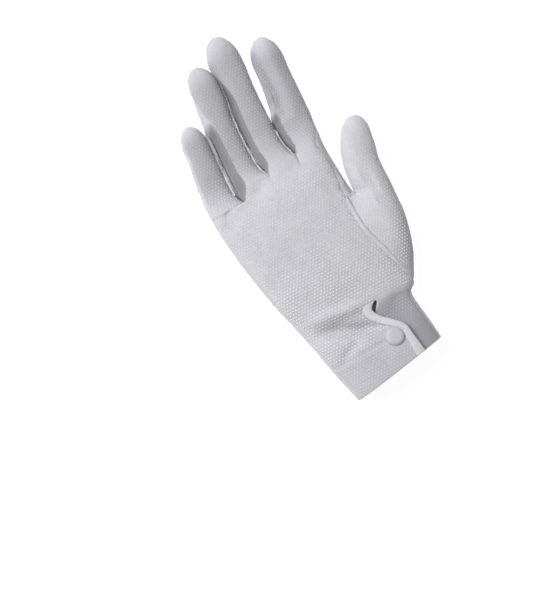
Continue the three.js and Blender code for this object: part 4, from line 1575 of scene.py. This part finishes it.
# Dots in staggered rows over the knit's own places, raised from the cloth's outer side.
dots = {"pitch": 0.0023, "radius": 0.00057, "height": 0.00036, "jitter": 0.00014, "seed": 11,
        "segments": 8, "rings": 4, "faintest": 0.12, "carried": 0.05}
evenRows = 500  # an even number of rows, which keeps the count of rows below the middle positive


def dotTree():
    tree, m, given = newTree("gripDots", {
        "Columns": "Int", "Rows": "Int", "Pitch": "Float", "Radius": "Float", "Height": "Float",
        "Middle": "Vector", "Jitter": "Float", "Seed": "Int", "Finish": "Material",
    })
    rowStep = given["Pitch"] * math.sqrt(0.75)
    grid = m.node("GeometryNodeMeshGrid", None, {
        "Size X": (given["Columns"] - 1) * given["Pitch"], "Size Y": (given["Rows"] - 1) * rowStep,
        "Vertices X": given["Columns"], "Vertices Y": given["Rows"],
    })[0]
    x, y, _ = m.parts(m.node("GeometryNodeInputPosition")[0])
    middleX, middleY, _ = m.parts(given["Middle"])
    odd = m.maths("ROUND", y / rowStep + evenRows) % 2.0
    stray = m.node("FunctionNodeRandomValue", {"data_type": "FLOAT_VECTOR"},
                   {0: (-1, -1, 0), 1: (1, 1, 0), "Seed": given["Seed"]})[0]
    strayX, strayY, _ = m.parts(stray)
    place = m.vector(x + odd * given["Pitch"] / 2 + middleX + strayX * given["Jitter"],
                     y + middleY + strayY * given["Jitter"])
    spots = store(m, grid, "place", place, "FLOAT_VECTOR")

    def sampled(kind, value):
        return m.node("GeometryNodeSampleUVSurface", {"data_type": kind}, {
            0: given["Geometry"], 1: value, 2: attribute(m, "UVMap", "FLOAT_VECTOR"),
            3: attribute(m, "place", "FLOAT_VECTOR"),
        })

    grip, valid = sampled("FLOAT", attribute(m, "grip"))
    normal = sampled("FLOAT_VECTOR", m.node("GeometryNodeInputNormal")[0])[0]
    where = sampled("FLOAT_VECTOR", m.node("GeometryNodeInputPosition")[0])[0]
    spots = store(m, spots, "grip", grip * valid)
    spots = store(m, spots, "out", normal, "FLOAT_VECTOR")
    spots = m.node("GeometryNodeSetPosition", None, {"Geometry": spots, "Position": where})[0]
    full = attribute(m, "grip")
    faint = m.node("FunctionNodeCompare", {"operation": "LESS_THAN"},
                   {0: full, 1: dots["faintest"]})[0]
    spots = m.node("GeometryNodeDeleteGeometry", {"domain": "POINT"},
                   {"Geometry": spots, "Selection": faint})[0]
    size = m.vector(given["Radius"] * full, given["Radius"] * full, given["Height"] * full)
    endTree(m, given, spots, ball(m, dots["segments"], dots["rings"]), upright(m), size)
    return tree


# The part of a piece that has dots, as a bare skin for the tree to read.
def carrierOf(node):
    full = surface.values["grip"]
    faces = [f for f in facesOf(node) if all(full.get(i, 0) > dots["carried"] for i in f[1])]
    used = {}
    for _, corners, _ in faces:
        for i in corners:
            used.setdefault(i, len(used))
    quads = [[used[i] for i in corners] for _, corners, _ in faces]
    return makeObject("carrier_" + node, [surface.points[i] for i in used], quads,
                      [uvs for _, _, uvs in faces], {"grip": [full[i] for i in used]})


gripDots = dotTree()
dotRows = table(("piece", "node", "slot", "middle", "columns", "rows"), [
    ("palm_grips", "palm_panel", "grip_knit", (0.0, 0.130, 0), 60, 135),
    ("thumb_grips", "thumb_front", "thumb_knit", (0.050, 0.110, 0), 30, 60),
])
for row in dotRows:
    made = bake(carrierOf(row["node"]), gripDots, {
        "Columns": row["columns"], "Rows": row["rows"], "Pitch": dots["pitch"],
        "Radius": dots["radius"], "Height": dots["height"], "Middle": row["middle"],
        "Jitter": dots["jitter"], "Seed": dots["seed"], "Finish": dotRubber,
    }, row["piece"])
    print(row["piece"], len(made.data.polygons), "faces")
    finishPiece(made, dotRubber, row["slot"])


# Stitches along a line of the cloth, each a short rounded bar that lies the line's way.
stitch = {"stray": 0.12, "seed": 5, "flatness": 0.8, "segments": 8, "rings": 6}


def stitchTree():
    tree, m, given = newTree("stitches", {
        "Pitch": "Float", "Length": "Float", "Radius": "Float", "Stray": "Float", "Seed": "Int",
        "Finish": "Material",
    })
    line = m.node("GeometryNodeMeshToCurve", None, {"Mesh": given["Geometry"]})[0]
    spaced = m.node("GeometryNodeResampleCurve", {"mode": "LENGTH"},
                    {"Curve": line, "Length": given["Pitch"]})[0]
    turned = m.node("FunctionNodeAlignRotationToVector", {"axis": "X", "pivot_axis": "Z"},
                    {"Rotation": upright(m), "Vector": m.node("GeometryNodeInputTangent")[0]})[0]
    stray = m.node("FunctionNodeRandomValue", {"data_type": "FLOAT"},
                   {2: 1 - given["Stray"], 3: 1 + given["Stray"], "Seed": given["Seed"]})[1]
    size = m.vector(given["Length"] * stray / 2, given["Radius"],
                    given["Radius"] * stitch["flatness"])
    endTree(m, given, spaced, ball(m, stitch["segments"], stitch["rings"]), turned, size)
    return tree


def lineCarrier(name, tracks):
    spots, outs, links = [], [], []
    for track, lift in tracks:
        links += [(len(spots) + i, len(spots) + i + 1) for i in range(len(track) - 1)]
        spots += [point + out * lift for point, out in track]
        outs += [out for _, out in track]
    data = bpy.data.meshes.new(name)
    data.from_pydata([point + Vector(glove["origin"]) for point in spots], links, [])
    layer = data.attributes.new("out", "FLOAT_VECTOR", "POINT")
    layer.data.foreach_set("vector", [value for out in outs for value in out])
    return placed(name, data)


# Lines of stitches, which keep some columns clear of the slit's edges.
clear = {"tab": 3, "under": 16, "binding": 4}
hemIndex = mesh["hem"] - 1
hemTracks = [[station(p) for p in row] for row in (
    palmRows[hemIndex][:slitColumn - clear["tab"]],
    beyondRows[hemIndex][slitColumn + clear["under"]:],
    rightRows[hemIndex], backRows[hemIndex], leftRows[hemIndex])]
besideBinding = slitColumn - clear["binding"]
bindingLine = [station(row[besideBinding]) for row in palmRows[1:slitIndex - clear["binding"]]]
stitchRows = table(("piece", "tracks", "pitch", "length", "radius"), [
    ("point_stitches", seamTracks, 0.0021, 0.0016, 0.00019),
    ("hem_stitches", [(track, 0.00004) for track in hemTracks], 0.0026, 0.0009, 0.00015),
    ("binding_stitches", [(bindingLine, 0.00005)], 0.0022, 0.0015, 0.00017),
])
stitches = stitchTree()
for row in stitchRows:
    made = bake(lineCarrier("line_" + row["piece"], row["tracks"]), stitches, {
        "Pitch": row["pitch"], "Length": row["length"], "Radius": row["radius"],
        "Stray": stitch["stray"], "Seed": stitch["seed"], "Finish": thread,
    }, row["piece"])
    print(row["piece"], len(made.data.polygons), "faces")
    finishPiece(made, thread, "plain_knit")

# The floor is a plain white surface, lit evenly.
floor = {"half": 3.0, "height": -0.0003, "colour": (0.16, 0.16, 0.16), "glow": 0.92,
         "roughness": 0.9, "gloss": 0.1}
corners = [(x * floor["half"], y * floor["half"], floor["height"])
           for x, y in ((-1, -1), (1, -1), (1, 1), (-1, 1))]
floorData = bpy.data.meshes.new("floor")
floorData.from_pydata(corners, [], [(0, 1, 2, 3)])
floorPiece = placed("floor", floorData)
floorMaterial, floorMaker, floorShader = newMaterial("floorWhite")
floorMaker.fill(floorShader, {
    "Base Color": (*floor["colour"], 1), "Roughness": floor["roughness"],
    "Specular IOR Level": floor["gloss"],
    "Emission Color": (1, 1, 1, 1), "Emission Strength": floor["glow"],
})
floorData.materials.append(floorMaterial)

# A white surround, and one broad soft light from the picture's left and top.
light = {"surround": 0.38, "strength": 3.25, "angle": 40, "away": (-0.80, 0.36, 1.0)}
world = bpy.data.worlds.new("surround")
bpy.context.scene.world = world
world.use_nodes = True
background = next(n for n in world.node_tree.nodes if n.type == "BACKGROUND")
Maker(world.node_tree).fill(background, {"Color": (1, 1, 1, 1), "Strength": light["surround"]})
turn = math.radians(-camera["turn"])
right = Vector((math.cos(turn), -math.sin(turn), 0))
top = Vector((math.sin(turn), math.cos(turn), 0))
sideways, upwards, height = light["away"]
lamp = bpy.data.lights.new("softLight", "SUN")
lamp.angle = math.radians(light["angle"])
lamp.energy = light["strength"]
lampHolder = placed("softLight", lamp)
reach = right * sideways + top * upwards + Vector((0, 0, height))
lampHolder.location = reach
lampHolder.rotation_euler = reach.to_track_quat("Z", "Y").to_euler()
bpy.context.scene.view_settings.view_transform = "Standard"
print("floor and light made")
